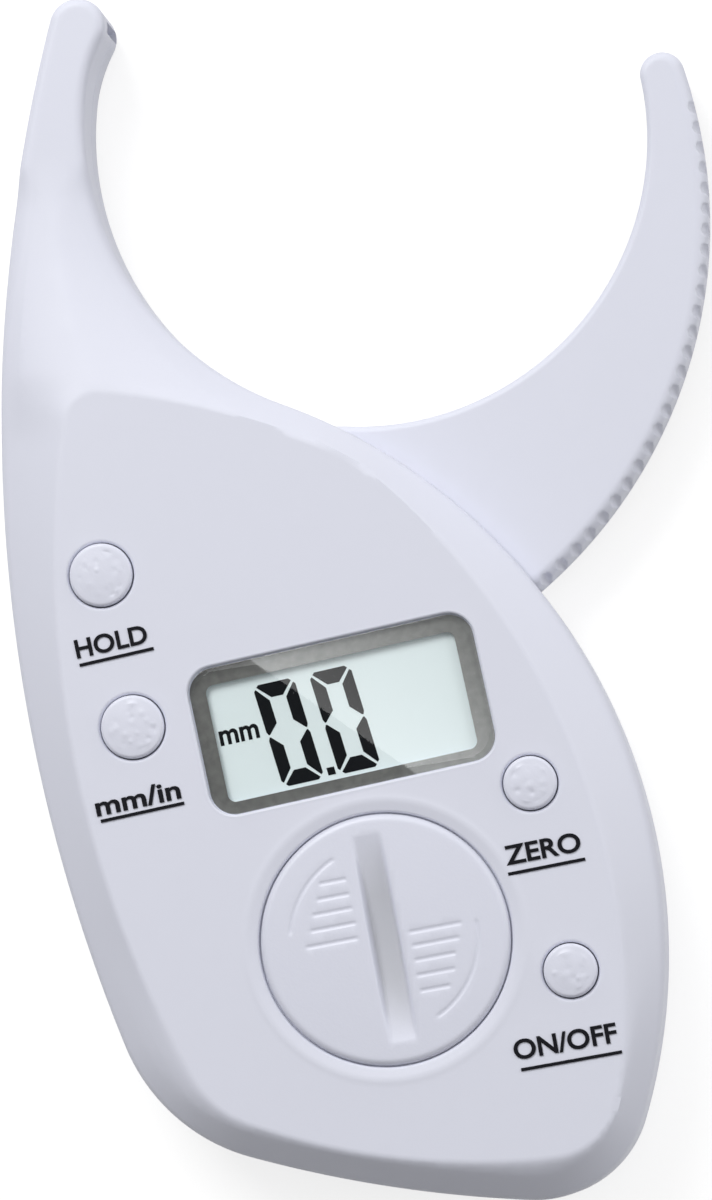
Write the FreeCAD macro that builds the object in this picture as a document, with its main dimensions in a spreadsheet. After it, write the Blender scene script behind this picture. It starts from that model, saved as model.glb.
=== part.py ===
"""Digital skinfold caliper: a hollow two-shell housing with a fixed jaw, and a jaw that a thumb swings closed.

Millimetres. The caliper lies on its back: +Z is the front face, +Y points to the jaw tips, and the origin is
on the rear face under the pivot of the swinging jaw. The jaws are drawn fully open.
"""
import FreeCAD, Part
import math
import os

import Sketcher
from FreeCAD import Placement, Rotation, Vector

DRIVING_SIZES = {
    # Housing outline, a closed chain of tangent arcs that includes the fixed jaw. The centres of the jaw's tip
    # and of the brows lie beyond the throat's arc, each at its own angle about the throat.
    "tip_beyond": 2.913, "tip_angle": 162.868, "tip_radius": 3.7,
    "left_radius": 214.0,
    "heel_x": -4.9, "heel_y": -54.1, "heel_radius": 24.6,
    "bottom_radius": 164.0,
    "toe_x": 25.5, "toe_y": -69.0, "toe_radius": 14.3,
    "side_radius": 76.0,
    "throat_x": 6.8, "throat_y": 57.3, "throat_radius": 40.2,
    "nub_radius": 21.0,
    # Foot of the raised front face, where it rises out of the shoulder.
    "brow_beyond": 5.9703, "brow_angle": 198.0425, "brow_radius": 3.4,
    "foot_side_radius": 73.5,
    "bend_x": -16.7, "bend_y": -22.4, "bend_radius": 40.0,
    "brow_throat_radius": 46.0,
    # Foot of the hollow under the raised face, which ends at the fixed jaw's root.
    "inner_brow_beyond": 16.199, "inner_brow_angle": 222.7726, "inner_brow_radius": 6.0,
    "inner_top_radius": 150.0,
    # Crest of the raised front face.
    "crest_brow_x": -30.7, "crest_brow_y": 16.6, "crest_brow_radius": 4.3,
    "crest_heel_x": -6.8, "crest_heel_y": -61.4, "crest_heel_radius": 12.8,
    "crest_toe_x": 27.4, "crest_toe_y": -68.5, "crest_toe_radius": 9.3,
    "crest_left_drop": 80.0, "crest_bottom_drop": 74.0, "crest_side_gain": 14.0,
    "crest_bend_x": -9.8, "crest_bend_y": -7.3, "crest_bend_radius": 22.6,
    "crest_top_radius": 95.0,
    # Heights of the housing, from the rear face.
    "parting_height": 6.2, "shoulder_height": 13.4, "front_height": 18.0,
    "shell_wall": 1.8, "rear_floor": 2.0, "roof": 1.8, "face_skin": 1.8, "dome_wall": 1.2,
    "rim_fillet": 2.4, "crest_fillet": 0.9, "rear_fillet": 2.4,
    "lip_height": 0.8, "lip_inset": 0.9, "lip_gap": 0.1,
    # Swinging jaw. Its tip closes on the fixed tip, in the contact direction, and swings open from there.
    "swing_angle": 55.4, "jaw_gap": 0.35,
    "contact_angle": 4.0, "contact_gap": 0.15, "jaw_tip_radius": 2.9,
    "jaw_inner_radius": 37.4, "jaw_outer_radius": 63.5, "hub_radius": 17.0,
    "jaw_bottom": 2.5, "jaw_top": 10.0, "jaw_edge_fillet": 1.6,
    "jaw_wall": 2.0, "jaw_skin": 2.2, "jaw_rib": 1.5, "jaw_rib_count": 5,
    # Ribs stand from the first share to the last of the turn from the hub to the tip.
    "rib_first_share": 0.212, "rib_last_share": 0.818,
    "knurl_count": 27, "knurl_pitch_angle": 2.45, "knurl_first_angle": 13.1, "knurl_bottom": 3.6,
    "knurl_low_radius": 0.3, "knurl_high_radius": 1.05,
    # Pivot.
    "axle_radius": 2.0, "axle_root": 0.9, "pivot_boss_radius": 4.2, "pivot_boss_top": 4.2,
    "washer_radius": 4.4, "washer_thickness": 0.4, "running_gap": 0.05,
    "bush_radius": 3.0, "hub_boss_radius": 5.2, "clip_thickness": 0.6, "clip_radius": 3.6,
    "clip_recess": 1.0, "clip_recess_radius": 4.4, "clip_groove": 0.4, "clip_mouth": 2.24, "axle_top": 9.8,
    "spring_radius": 7.6, "spring_wire": 0.4, "spring_pitch": 1.0, "spring_turn_count": 2.75,
    "spring_lift": 0.15, "spring_leg": 4.2, "spring_post_radius": 1.2, "spring_post_top": 4.0,
    "catch_width": 2.4, "catch_depth": 1.6,
    "rotor_radius": 14.2, "rotor_bore_radius": 4.8, "rotor_thickness": 0.25,
    # Display window.
    "window_x": 1.1, "window_y": -21.2, "window_tilt_angle": 12.3,
    "lens_width": 37.6, "lens_height": 19.3, "lens_corner": 3.3, "lens_thickness": 1.2,
    "lens_ledge": 1.5, "fit_gap": 0.1,
    "panel_width": 37.0, "panel_height": 18.4, "panel_thickness": 2.2, "panel_drop": 0.1,
    "frame_wall": 0.8, "zebra_width": 1.6, "zebra_length": 30.0, "zebra_edge": 0.7,
    # Push buttons: hold, unit, zero and power.
    "hold_x": -30.1, "hold_y": -3.0, "unit_x": -25.9, "unit_y": -22.7, "left_button_radius": 4.1,
    "zero_x": 25.4, "zero_y": -30.2, "power_x": 30.5, "power_y": -54.1, "right_button_radius": 3.45,
    "button_proud": 0.4, "button_dome": 0.3, "button_travel": 0.4, "button_gap": 0.15,
    "flange_extra": 0.5, "flange_thickness": 0.7, "stem_radius": 1.6,
    "switch_side": 4.5, "switch_height": 2.0, "plunger_radius": 0.9, "plunger_rise": 0.8,
    # Battery well and its turning cap.
    "cap_x": 6.8, "cap_y": -50.1, "cap_radius": 16.1, "cap_gap": 0.2, "cap_thickness": 1.9,
    "dish_width": 1.9, "dish_depth": 0.5, "cap_edge": 0.4,
    "plug_radius": 13.4, "plug_wall": 1.6, "ledge_thickness": 1.5, "lug_reach": 1.1, "lug_thickness": 0.9,
    "lug_half_angle": 17.0, "lug_clearance_angle": 3.0, "cap_turn_angle": 50.0, "well_wall": 1.4,
    "slot_tilt_angle": 10.5, "slot_length": 27.0, "slot_width": 4.0, "slot_floor_width": 1.6, "slot_depth": 1.1,
    "cell_radius": 10.0, "cell_thickness": 3.2, "cell_gap": 0.15, "cell_lift": 0.4,
    "holder_wall": 1.3, "contact_thickness": 0.25, "contact_width": 4.0, "contact_length": 14.0,
    "gate_gap": 0.2,
    # Circuit board.
    "board_bottom": 10.6, "board_thickness": 1.2, "board_inset": 0.8, "boss_clearance": 0.3,
    "chip_x": -8.0, "chip_y": -30.0, "chip_side": 7.0, "chip_height": 1.2,
    "crystal_x": 6.0, "crystal_y": -30.0, "crystal_length": 6.0, "crystal_width": 2.2, "crystal_height": 1.4,
    "capacitor_length": 1.6, "capacitor_width": 0.8,
    "capacitor_1_x": -15.0, "capacitor_1_y": -30.0, "capacitor_2_x": -12.5, "capacitor_2_y": -34.0,
    "capacitor_3_x": 12.0, "capacitor_3_y": -29.0, "capacitor_4_x": 14.5, "capacitor_4_y": -32.5,
    # Case screws, the first in the root of the fixed jaw, and the screws that hold the board.
    "case_screw_1_x": -35.0, "case_screw_1_y": 34.0, "case_screw_2_x": -27.5, "case_screw_2_y": -40.5,
    "case_screw_3_x": 34.2, "case_screw_3_y": -42.0, "case_screw_4_x": 21.0, "case_screw_4_y": -74.0,
    "board_screw_1_x": -22.0, "board_screw_1_y": 10.0, "board_screw_2_x": 23.5, "board_screw_2_y": -13.5,
    "board_screw_3_x": -19.5, "board_screw_3_y": -38.5, "board_screw_4_x": 26.5, "board_screw_4_y": -64.5,
    "case_boss_radius": 3.0, "case_screw_radius": 1.1, "case_head_radius": 2.2, "case_head_height": 1.4,
    "case_head_sink": 2.2, "case_screw_reach": 3.4, "case_screw_gap": 0.1,
    "standoff_radius": 2.2, "board_screw_radius": 0.8, "board_head_radius": 1.6, "board_head_height": 0.9,
    "board_screw_reach": 3.0,
}
BUTTONS = ["hold", "unit", "zero", "power"]

CONVEX, CONCAVE = 1, -1
LEFT, RIGHT = 1, -1


class Size(float):
    """A number that remembers the sheet expression it was worked out with."""

    def __new__(cls, number, text):
        size = super().__new__(cls, number)
        size.text = text
        return size

    def __add__(self, other):
        return Size(float(self) + float(other), "(%s + %s)" % (self.text, text_of(other)))

    def __sub__(self, other):
        return Size(float(self) - float(other), "(%s - %s)" % (self.text, text_of(other)))

    def __rsub__(self, other):
        return Size(float(other) - float(self), "(%s - %s)" % (text_of(other), self.text))

    def __mul__(self, other):
        return Size(float(self) * float(other), "(%s * %s)" % (self.text, text_of(other)))

    def __truediv__(self, other):
        return Size(float(self) / float(other), "(%s / %s)" % (self.text, text_of(other)))

    def __neg__(self):
        return Size(-float(self), "(-%s)" % self.text)

    __radd__ = __add__
    __rmul__ = __mul__


def cosine(degrees):
    """Cosine of a size in degrees."""
    return Size(math.cos(math.radians(degrees)), "cos(%s * 1deg)" % degrees.text)


def sine(degrees):
    """Sine of a size in degrees."""
    return Size(math.sin(math.radians(degrees)), "sin(%s * 1deg)" % degrees.text)


def text_of(number):
    """The expression of a size, or the plain digits of a number."""
    return number.text if isinstance(number, Size) else "%.6f" % number


doc = FreeCAD.newDocument("skinfold_caliper")
sheet = doc.addObject("Spreadsheet::Sheet", "sizes")


class Sizes:
    """The driving sizes, each written once in the sheet and read here by its name."""

    def __init__(self, table):
        for row, (alias, number) in enumerate(table.items(), start=1):
            sheet.set("A%d" % row, alias.replace("_", " "))
            sheet.set("B%d" % row, str(number))
            sheet.setAlias("B%d" % row, alias)
            setattr(self, alias, Size(number, "sizes." + alias))


s = Sizes(DRIVING_SIZES)
doc.recompute()

ZERO = Size(0, "0")


def places(kind, count=4):
    """The listed places of one kind of small part."""
    return [(getattr(s, "%s_%d_x" % (kind, k)), getattr(s, "%s_%d_y" % (kind, k))) for k in range(1, count + 1)]


CASE_SCREWS = places("case_screw")
BOARD_SCREWS = places("board_screw")
CAPACITORS = places("capacitor")

parts = []


# ---------------------------------------------------------------------------------------------------------
# Sketches and features
# ---------------------------------------------------------------------------------------------------------
def bind(item, prop, number):
    """Set a property from a size, through its expression where it has one."""
    if isinstance(number, Size):
        item.setExpression(prop, number.text)
    else:
        setattr(item, prop, number)


def place(item, x=0.0, y=0.0, z=0.0, turn=None):
    """Bind a sub-part's Placement: its place in millimetres and its turn about +Z in degrees."""
    item.Placement = Placement(Vector(float(x), float(y), float(z)),
                               Rotation(Vector(0, 0, 1), float(turn or 0)))
    for axis, number in (("x", x), ("y", y), ("z", z)):
        if isinstance(number, Size):
            item.setExpression("Placement.Base." + axis, number.text)
    if isinstance(turn, Size):
        item.setExpression("Placement.Rotation.Angle", turn.text)


def new_body(label):
    """A PartDesign body that becomes one node."""
    body = doc.addObject("PartDesign::Body", label)
    body.Label = label
    parts.append(body)
    return body


def new_sketch(body, name, level=0.0, plane="XY_Plane", x=0.0, y=0.0, turn=None):
    """A sketch on one of the body's own origin planes, moved by x, y and level in that plane's own frame."""
    sketch = body.newObject("Sketcher::SketchObject", body.Label + "_" + name)
    support = [item for item in body.Origin.OriginFeatures if item.Role == plane][0]
    sketch.AttachmentSupport = [(support, "")]
    sketch.MapMode = "FlatFace"
    sketch.AttachmentOffset = Placement(Vector(float(x), float(y), float(level)),
                                        Rotation(Vector(0, 0, 1), float(turn or 0)))
    for axis, number in (("x", x), ("y", y), ("z", level)):
        if isinstance(number, Size):
            sketch.setExpression("AttachmentOffset.Base." + axis, number.text)
    if isinstance(turn, Size):
        sketch.setExpression("AttachmentOffset.Rotation.Angle", turn.text)
    return sketch


def dimension(sketch, kind, number, *where):
    """Add one dimension and bind it to the sheet."""
    index = sketch.addConstraint(Sketcher.Constraint(kind, *where, float(number)))
    if isinstance(number, Size):
        sketch.setExpression("Constraints[%d]" % index, number.text)


def locate(sketch, geometry, point, x, y):
    """Fix a point of the geometry at x and y from the sketch's origin."""
    if float(x) == 0:
        sketch.addConstraint(Sketcher.Constraint("PointOnObject", geometry, point, -2))
    else:
        dimension(sketch, "DistanceX", x, -1, 1, geometry, point)
    if float(y) == 0:
        sketch.addConstraint(Sketcher.Constraint("PointOnObject", geometry, point, -1))
    else:
        dimension(sketch, "DistanceY", y, -1, 1, geometry, point)


def add_circle(sketch, x, y, radius):
    """A dimensioned circle."""
    centre = Vector(float(x), float(y), 0)
    index = sketch.addGeometry(Part.Circle(centre, Vector(0, 0, 1), float(radius)))
    locate(sketch, index, 3, x, y)
    dimension(sketch, "Radius", radius, index)


def add_polygon(sketch, corners):
    """A closed polygon with both coordinates of every corner dimensioned."""
    points = [Vector(float(x), float(y), 0) for x, y in corners]
    ends = points[1:] + points[:1]
    first = sketch.GeometryCount
    for start, end in zip(points, ends):
        sketch.addGeometry(Part.LineSegment(start, end))
    count = len(points)
    for k in range(count):
        following = first + (k + 1) % count
        sketch.addConstraint(Sketcher.Constraint("Coincident", first + k, 2, following, 1))
    for k, (x, y) in enumerate(corners):
        locate(sketch, first + k, 1, x, y)


def add_rectangle(sketch, x, y, width, height):
    """A rectangle with its centre at x, y."""
    left, right = x - width / 2, x + width / 2
    low, high = y - height / 2, y + height / 2
    add_polygon(sketch, [(left, low), (right, low), (right, high), (left, high)])


def add_rounded_rectangle(sketch, width, height, radius):
    """A rectangle about the sketch's origin with four round corners of one radius."""
    across, up, corner = float(width) / 2, float(height) / 2, float(radius)
    inner_x, inner_y = across - corner, up - corner
    lines = [((-inner_x, -up), (inner_x, -up)), ((across, -inner_y), (across, inner_y)),
             ((inner_x, up), (-inner_x, up)), ((-across, inner_y), (-across, -inner_y))]
    corners = [(inner_x, -inner_y, -90), (inner_x, inner_y, 0), (-inner_x, inner_y, 90),
               (-inner_x, -inner_y, 180)]
    first = sketch.GeometryCount
    for (x1, y1), (x2, y2) in lines:
        sketch.addGeometry(Part.LineSegment(Vector(x1, y1, 0), Vector(x2, y2, 0)))
    for x, y, start in corners:
        circle = Part.Circle(Vector(x, y, 0), Vector(0, 0, 1), corner)
        sketch.addGeometry(Part.ArcOfCircle(circle, math.radians(start), math.radians(start + 90)))
    for k in range(4):
        sketch.addConstraint(Sketcher.Constraint("Tangent", first + k, 2, first + 4 + k, 1))
        sketch.addConstraint(Sketcher.Constraint("Tangent", first + 4 + k, 2, first + (k + 1) % 4, 1))
        sketch.addConstraint(Sketcher.Constraint(("Horizontal", "Vertical")[k % 2], first + k))
    for k in range(5, 8):
        sketch.addConstraint(Sketcher.Constraint("Equal", first + 4, first + k))
    dimension(sketch, "Radius", radius, first + 4)
    locate(sketch, first + 5, 3, width / 2 - radius, height / 2 - radius)
    sketch.addConstraint(Sketcher.Constraint("Symmetric", first + 5, 3, first + 7, 3, -1, 1))


def fixed_arc(x, y, radius, turn=CONVEX):
    """An arc of an outline that is given by its centre and radius."""
    return {"x": x, "y": y, "radius": radius, "turn": turn, "fixed": True}


def bridge_arc(radius, turn=CONVEX, side=LEFT):
    """An arc that joins its fixed neighbours tangentially, its centre to one side of the line between them."""
    return {"radius": radius, "turn": turn, "side": side, "fixed": False}


def bridge_centre(before, after, reach_before, reach_after, side):
    """The point at the two given distances from the neighbours' centres, on the given side."""
    line = after - before
    along = (reach_before ** 2 - reach_after ** 2 + line.Length ** 2) / (2 * line.Length)
    across = math.sqrt(max(reach_before ** 2 - along ** 2, 0.0))
    direction = line / line.Length
    return before + direction * along + Vector(-direction.y, direction.x, 0) * across * side


def solve_outline(outline, inset=0.0):
    """Centres and signed radii (positive where the outline is convex) of a closed chain, run anticlockwise."""
    count = len(outline)
    signed = [arc["turn"] * float(arc["radius"]) for arc in outline]
    centres = [Vector(float(arc["x"]), float(arc["y"]), 0) if arc["fixed"] else None for arc in outline]
    for k, arc in enumerate(outline):
        if not arc["fixed"]:
            before, after = k - 1, (k + 1) % count
            centres[k] = bridge_centre(centres[before], centres[after], abs(signed[before] - signed[k]),
                                       abs(signed[k] - signed[after]), arc["side"])
    return centres, [radius - float(inset) for radius in signed]


def add_outline(sketch, outline, inset=0.0):
    """Draw a closed chain of tangent arcs, moved inwards by the inset, and dimension it fully."""
    centres, signed = solve_outline(outline, inset)
    count = len(outline)
    joints = []
    for k in range(count):
        following = (k + 1) % count
        normal = (centres[k] - centres[following]) / (signed[k] - signed[following])
        joints.append(centres[k] - normal * signed[k])
    base = sketch.GeometryCount
    for k, (centre, radius) in enumerate(zip(centres, signed)):
        ends = [joints[k - 1], joints[k]] if radius > 0 else [joints[k], joints[k - 1]]
        first, last = [math.atan2(end.y - centre.y, end.x - centre.x) for end in ends]
        if last < first:
            last += 2 * math.pi
        sketch.addGeometry(Part.ArcOfCircle(Part.Circle(centre, Vector(0, 0, 1), abs(radius)), first, last))
    for k in range(count):
        following = (k + 1) % count
        leaving = 2 if signed[k] > 0 else 1
        arriving = 1 if signed[following] > 0 else 2
        sketch.addConstraint(Sketcher.Constraint("Tangent", base + k, leaving, base + following, arriving))
    for k, arc in enumerate(outline):
        if arc["fixed"]:
            locate(sketch, base + k, 3, arc["x"], arc["y"])
        dimension(sketch, "Radius", arc["radius"] - inset * arc["turn"], base + k)


def pad(body, sketch, length):
    """Material along the sketch's normal."""
    feature = body.newObject("PartDesign::Pad", sketch.Label + "_pad")
    feature.Profile = sketch
    bind(feature, "Length", length)
    return feature


def pocket(body, sketch, length):
    """A cut along the sketch's normal."""
    feature = body.newObject("PartDesign::Pocket", sketch.Label + "_pocket")
    feature.Profile = sketch
    feature.Reversed = True
    bind(feature, "Length", length)
    return feature


def revolve(body, sketch, cut=False):
    """Turn a profile about the vertical axis of its sketch, as material or as a cut."""
    kind = "Groove" if cut else "Revolution"
    feature = body.newObject("PartDesign::" + kind, sketch.Label + "_turned")
    feature.Profile = sketch
    feature.ReferenceAxis = (sketch, ["V_Axis"])
    feature.Angle = 360.0
    return feature


def loft(body, low, high, cut=False):
    """A loft from one sketch to another, as material or as a cut."""
    kind = "SubtractiveLoft" if cut else "AdditiveLoft"
    feature = body.newObject("PartDesign::" + kind, low.Label + "_loft")
    feature.Profile = low
    feature.Sections = [high]
    feature.Ruled = True
    return feature


def edges_where(feature, wanted):
    """Names of the feature's edges whose middle point and two ends pass the test."""
    names = []
    for k, edge in enumerate(feature.Shape.Edges, start=1):
        middle = edge.valueAt((edge.FirstParameter + edge.LastParameter) / 2)
        if all(wanted(point) for point in [middle] + [vertex.Point for vertex in edge.Vertexes]):
            names.append("Edge%d" % k)
    return names


def round_edges(body, feature, radius, wanted):
    """Fillet the edges of the last feature that pass the test."""
    doc.recompute()
    fillet = body.newObject("PartDesign::Fillet", feature.Label + "_fillet")
    fillet.Base = (feature, edges_where(feature, wanted))
    bind(fillet, "Radius", radius)
    return fillet


def at_height(height):
    """A test for points that lie on one level."""
    return lambda point: abs(point.z - float(height)) < 1e-4


def ring_of_holes(body, name, centres, radius, level, length, cut=True):
    """Equal round holes or bosses at the listed centres."""
    sketch = new_sketch(body, name, level)
    for x, y in centres:
        add_circle(sketch, x, y, radius)
    return pocket(body, sketch, length) if cut else pad(body, sketch, length)


# ---------------------------------------------------------------------------------------------------------
# Outlines
# ---------------------------------------------------------------------------------------------------------
def beyond_throat(distance, angle):
    """A point outside the throat's arc, at an angle about the throat."""
    reach = s.throat_radius + distance
    return s.throat_x + reach * cosine(angle), s.throat_y + reach * sine(angle)


tip_x, tip_y = beyond_throat(s.tip_beyond, s.tip_angle)
HOUSING = [
    fixed_arc(tip_x, tip_y, s.tip_radius), bridge_arc(s.left_radius),
    fixed_arc(s.heel_x, s.heel_y, s.heel_radius), bridge_arc(s.bottom_radius),
    fixed_arc(s.toe_x, s.toe_y, s.toe_radius), bridge_arc(s.side_radius),
    fixed_arc(s.throat_x, s.throat_y, s.throat_radius, CONCAVE), bridge_arc(s.nub_radius, CONCAVE),
]
foot_inset = s.rim_fillet + s.fit_gap
FOOT = [
    fixed_arc(*beyond_throat(s.brow_beyond, s.brow_angle), s.brow_radius),
    bridge_arc(s.left_radius - foot_inset),
    fixed_arc(s.heel_x, s.heel_y, s.heel_radius - foot_inset), bridge_arc(s.bottom_radius - foot_inset),
    fixed_arc(s.toe_x, s.toe_y, s.toe_radius - foot_inset), bridge_arc(s.foot_side_radius),
    fixed_arc(s.bend_x, s.bend_y, s.bend_radius), bridge_arc(s.brow_throat_radius, CONCAVE, RIGHT),
]
inner_brow = fixed_arc(*beyond_throat(s.inner_brow_beyond, s.inner_brow_angle), s.inner_brow_radius)
DOME_FOOT = [inner_brow] + FOOT[1:7] + [bridge_arc(s.inner_top_radius)]
CREST = [
    fixed_arc(s.crest_brow_x, s.crest_brow_y, s.crest_brow_radius),
    bridge_arc(s.left_radius - s.crest_left_drop),
    fixed_arc(s.crest_heel_x, s.crest_heel_y, s.crest_heel_radius),
    bridge_arc(s.bottom_radius - s.crest_bottom_drop),
    fixed_arc(s.crest_toe_x, s.crest_toe_y, s.crest_toe_radius),
    bridge_arc(s.side_radius + s.crest_side_gain),
    fixed_arc(s.crest_bend_x, s.crest_bend_y, s.crest_bend_radius), bridge_arc(s.crest_top_radius),
]
contact_reach = s.tip_radius + s.jaw_tip_radius + s.contact_gap
closed_tip_x = tip_x + contact_reach * cosine(s.contact_angle)
closed_tip_y = tip_y + contact_reach * sine(s.contact_angle)
jaw_tip_x = closed_tip_x * cosine(s.swing_angle) + closed_tip_y * sine(s.swing_angle)
jaw_tip_y = closed_tip_y * cosine(s.swing_angle) - closed_tip_x * sine(s.swing_angle)
JAW = [
    fixed_arc(jaw_tip_x, jaw_tip_y, s.jaw_tip_radius), bridge_arc(s.jaw_inner_radius, CONCAVE, RIGHT),
    fixed_arc(0.0, 0.0, s.hub_radius), bridge_arc(s.jaw_outer_radius),
]
slot_top = s.jaw_top + s.jaw_gap
slot_bottom = s.jaw_bottom - s.jaw_gap
roof_height = s.shoulder_height - s.roof
ceiling = s.front_height - s.face_skin
board_top = s.board_bottom + s.board_thickness
hub_bottom = s.pivot_boss_top + s.washer_thickness + s.running_gap * 2
bush_top = s.jaw_top - s.clip_recess
core_ceiling = s.jaw_top - s.jaw_skin
cap_seat = s.front_height - s.cap_thickness
ledge_bottom = cap_seat - s.ledge_thickness
lug_room = s.plug_radius + s.lug_reach + s.cap_gap


def cut_jaw_slot(body, low, high):
    """Open the shell wall for the jaw: its open and its closed outline, each with a gap round it."""
    for name, turn in (("open", None), ("closed", s.swing_angle)):
        sketch = new_sketch(body, "slot_" + name, low, turn=turn)
        add_outline(sketch, JAW, -s.jaw_gap)
        pocket(body, sketch, high - low)


# ---------------------------------------------------------------------------------------------------------
# Housing
# ---------------------------------------------------------------------------------------------------------
def make_front_cover():
    """Front shell: skirt with the fixed jaw, raised face, window, button holes and battery opening."""
    body = new_body("front_cover")
    skirt = new_sketch(body, "skirt", s.parting_height)
    add_outline(skirt, HOUSING)
    skirt_pad = pad(body, skirt, s.shoulder_height - s.parting_height)
    round_edges(body, skirt_pad, s.rim_fillet, at_height(s.shoulder_height))
    foot = new_sketch(body, "foot", s.shoulder_height)
    add_outline(foot, FOOT)
    crest = new_sketch(body, "crest", s.front_height)
    add_outline(crest, CREST)
    raised = loft(body, foot, crest)
    round_edges(body, raised, s.crest_fillet, at_height(s.front_height))

    hollow = new_sketch(body, "hollow", s.parting_height)
    add_outline(hollow, HOUSING, s.shell_wall)
    pocket(body, hollow, roof_height - s.parting_height)
    rebate = new_sketch(body, "rebate", s.parting_height)
    add_outline(rebate, HOUSING, s.lip_inset)
    pocket(body, rebate, s.lip_height + s.lip_gap)
    dome_foot = new_sketch(body, "dome_foot", roof_height)
    add_outline(dome_foot, DOME_FOOT, s.dome_wall)
    dome_crest = new_sketch(body, "dome_crest", ceiling)
    add_outline(dome_crest, CREST, s.dome_wall)
    loft(body, dome_foot, dome_crest, cut=True)
    cut_jaw_slot(body, s.parting_height, slot_top)

    lens_seat = new_sketch(body, "lens_seat", s.front_height - s.lens_thickness, x=s.window_x, y=s.window_y,
                           turn=s.window_tilt_angle)
    add_rounded_rectangle(lens_seat, s.lens_width + s.fit_gap * 2, s.lens_height + s.fit_gap * 2,
                          s.lens_corner + s.fit_gap)
    pocket(body, lens_seat, s.lens_thickness)
    window = new_sketch(body, "window", ceiling, x=s.window_x, y=s.window_y, turn=s.window_tilt_angle)
    add_rounded_rectangle(window, s.lens_width - s.lens_ledge * 2, s.lens_height - s.lens_ledge * 2,
                          s.lens_corner - s.lens_ledge)
    pocket(body, window, s.face_skin)

    for name in BUTTONS:
        x, y, radius = button_sizes(name)
        hole = new_sketch(body, name + "_hole", ceiling)
        add_circle(hole, x, y, radius + s.button_gap)
        pocket(body, hole, s.face_skin)
        flange_room = new_sketch(body, name + "_room", s.shoulder_height)
        add_circle(flange_room, x, y, radius + s.flange_extra + s.button_gap)
        pocket(body, flange_room, ceiling - s.shoulder_height)

    well = new_sketch(body, "well_wall", board_top + s.fit_gap)
    add_circle(well, s.cap_x, s.cap_y, s.cap_radius + s.cap_gap + s.well_wall)
    add_circle(well, s.cap_x, s.cap_y, s.plug_radius + s.cap_gap)
    pad(body, well, ceiling - board_top - s.fit_gap)
    ring_of_holes(body, "case_boss", CASE_SCREWS, s.case_boss_radius, s.parting_height,
                  roof_height - s.parting_height, cut=False)
    ring_of_holes(body, "case_boss_upper", CASE_SCREWS[1:], s.case_boss_radius, roof_height,
                  ceiling - roof_height, cut=False)
    ring_of_holes(body, "standoff", BOARD_SCREWS, s.standoff_radius, board_top, ceiling - board_top, cut=False)
    ring_of_holes(body, "case_pilot", CASE_SCREWS, s.case_screw_radius, s.parting_height, s.case_screw_reach)
    ring_of_holes(body, "board_pilot", BOARD_SCREWS, s.board_screw_radius, board_top, s.board_screw_reach)

    opening = new_sketch(body, "battery_opening", -s.cap_y, "XZ_Plane", x=s.cap_x)
    add_polygon(opening, [
        (0.0, board_top), (lug_room, board_top), (lug_room, ledge_bottom),
        (s.plug_radius + s.cap_gap, ledge_bottom), (s.plug_radius + s.cap_gap, cap_seat),
        (s.cap_radius + s.cap_gap, cap_seat), (s.cap_radius + s.cap_gap, s.front_height - s.dish_depth),
        (s.cap_radius + s.dish_width, s.front_height), (0.0, s.front_height)])
    revolve(body, opening, cut=True)
    notches = new_sketch(body, "lug_notches", ledge_bottom, x=s.cap_x, y=s.cap_y,
                         turn=s.slot_tilt_angle + s.cap_turn_angle)
    for side in (LEFT, RIGHT):
        add_sector(notches, s.plug_radius, lug_room, s.lug_half_angle + s.lug_clearance_angle, side)
    pocket(body, notches, s.ledge_thickness)
    return body


def button_sizes(name):
    """Place and radius of a push button."""
    radius = s.left_button_radius if name in ("hold", "unit") else s.right_button_radius
    return getattr(s, name + "_x"), getattr(s, name + "_y"), radius


def make_rear_cover():
    """Rear shell: flat back, hollow, with the pivot boss and the screw posts."""
    body = new_body("rear_cover")
    base = new_sketch(body, "base")
    add_outline(base, HOUSING)
    base_pad = pad(body, base, s.parting_height)
    round_edges(body, base_pad, s.rear_fillet, at_height(0.0))
    hollow = new_sketch(body, "hollow", s.rear_floor)
    add_outline(hollow, HOUSING, s.shell_wall)
    pocket(body, hollow, s.parting_height - s.rear_floor)
    lip = new_sketch(body, "lip", s.parting_height)
    add_outline(lip, HOUSING, s.lip_inset + s.lip_gap)
    add_outline(lip, HOUSING, s.shell_wall)
    pad(body, lip, s.lip_height)
    cut_jaw_slot(body, slot_bottom, s.parting_height + s.lip_height)
    ring_of_holes(body, "case_post", CASE_SCREWS, s.case_boss_radius, s.rear_floor,
                  s.parting_height - s.rear_floor, cut=False)
    boss = new_sketch(body, "pivot_boss", s.rear_floor)
    add_circle(boss, 0.0, 0.0, s.pivot_boss_radius)
    pad(body, boss, s.pivot_boss_top - s.rear_floor)
    post = new_sketch(body, "spring_post", s.rear_floor)
    add_circle(post, s.spring_radius + s.spring_wire + s.spring_post_radius + s.running_gap,
               -s.spring_leg + s.spring_post_radius, s.spring_post_radius)
    pad(body, post, s.spring_post_top - s.rear_floor)
    bore = new_sketch(body, "pivot_bore", s.axle_root)
    add_circle(bore, 0.0, 0.0, s.axle_radius)
    pocket(body, bore, s.pivot_boss_top - s.axle_root)
    ring_of_holes(body, "counterbore", CASE_SCREWS, s.case_head_radius + s.case_screw_gap, 0.0,
                  s.case_head_sink)
    ring_of_holes(body, "screw_hole", CASE_SCREWS, s.case_screw_radius + s.case_screw_gap, 0.0,
                  s.parting_height)
    return body


def make_case_screws():
    """Pan-head screws from the rear into the front cover's bosses."""
    screws = []
    for k, (x, y) in enumerate(CASE_SCREWS):
        screws.append(turned_screw("case_screw_%d" % k, x, y, s.case_head_sink - s.case_head_height,
                                   s.case_head_radius, s.case_head_height, s.case_screw_radius,
                                   s.parting_height + s.case_screw_reach))
    group("case_screws", screws)


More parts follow.
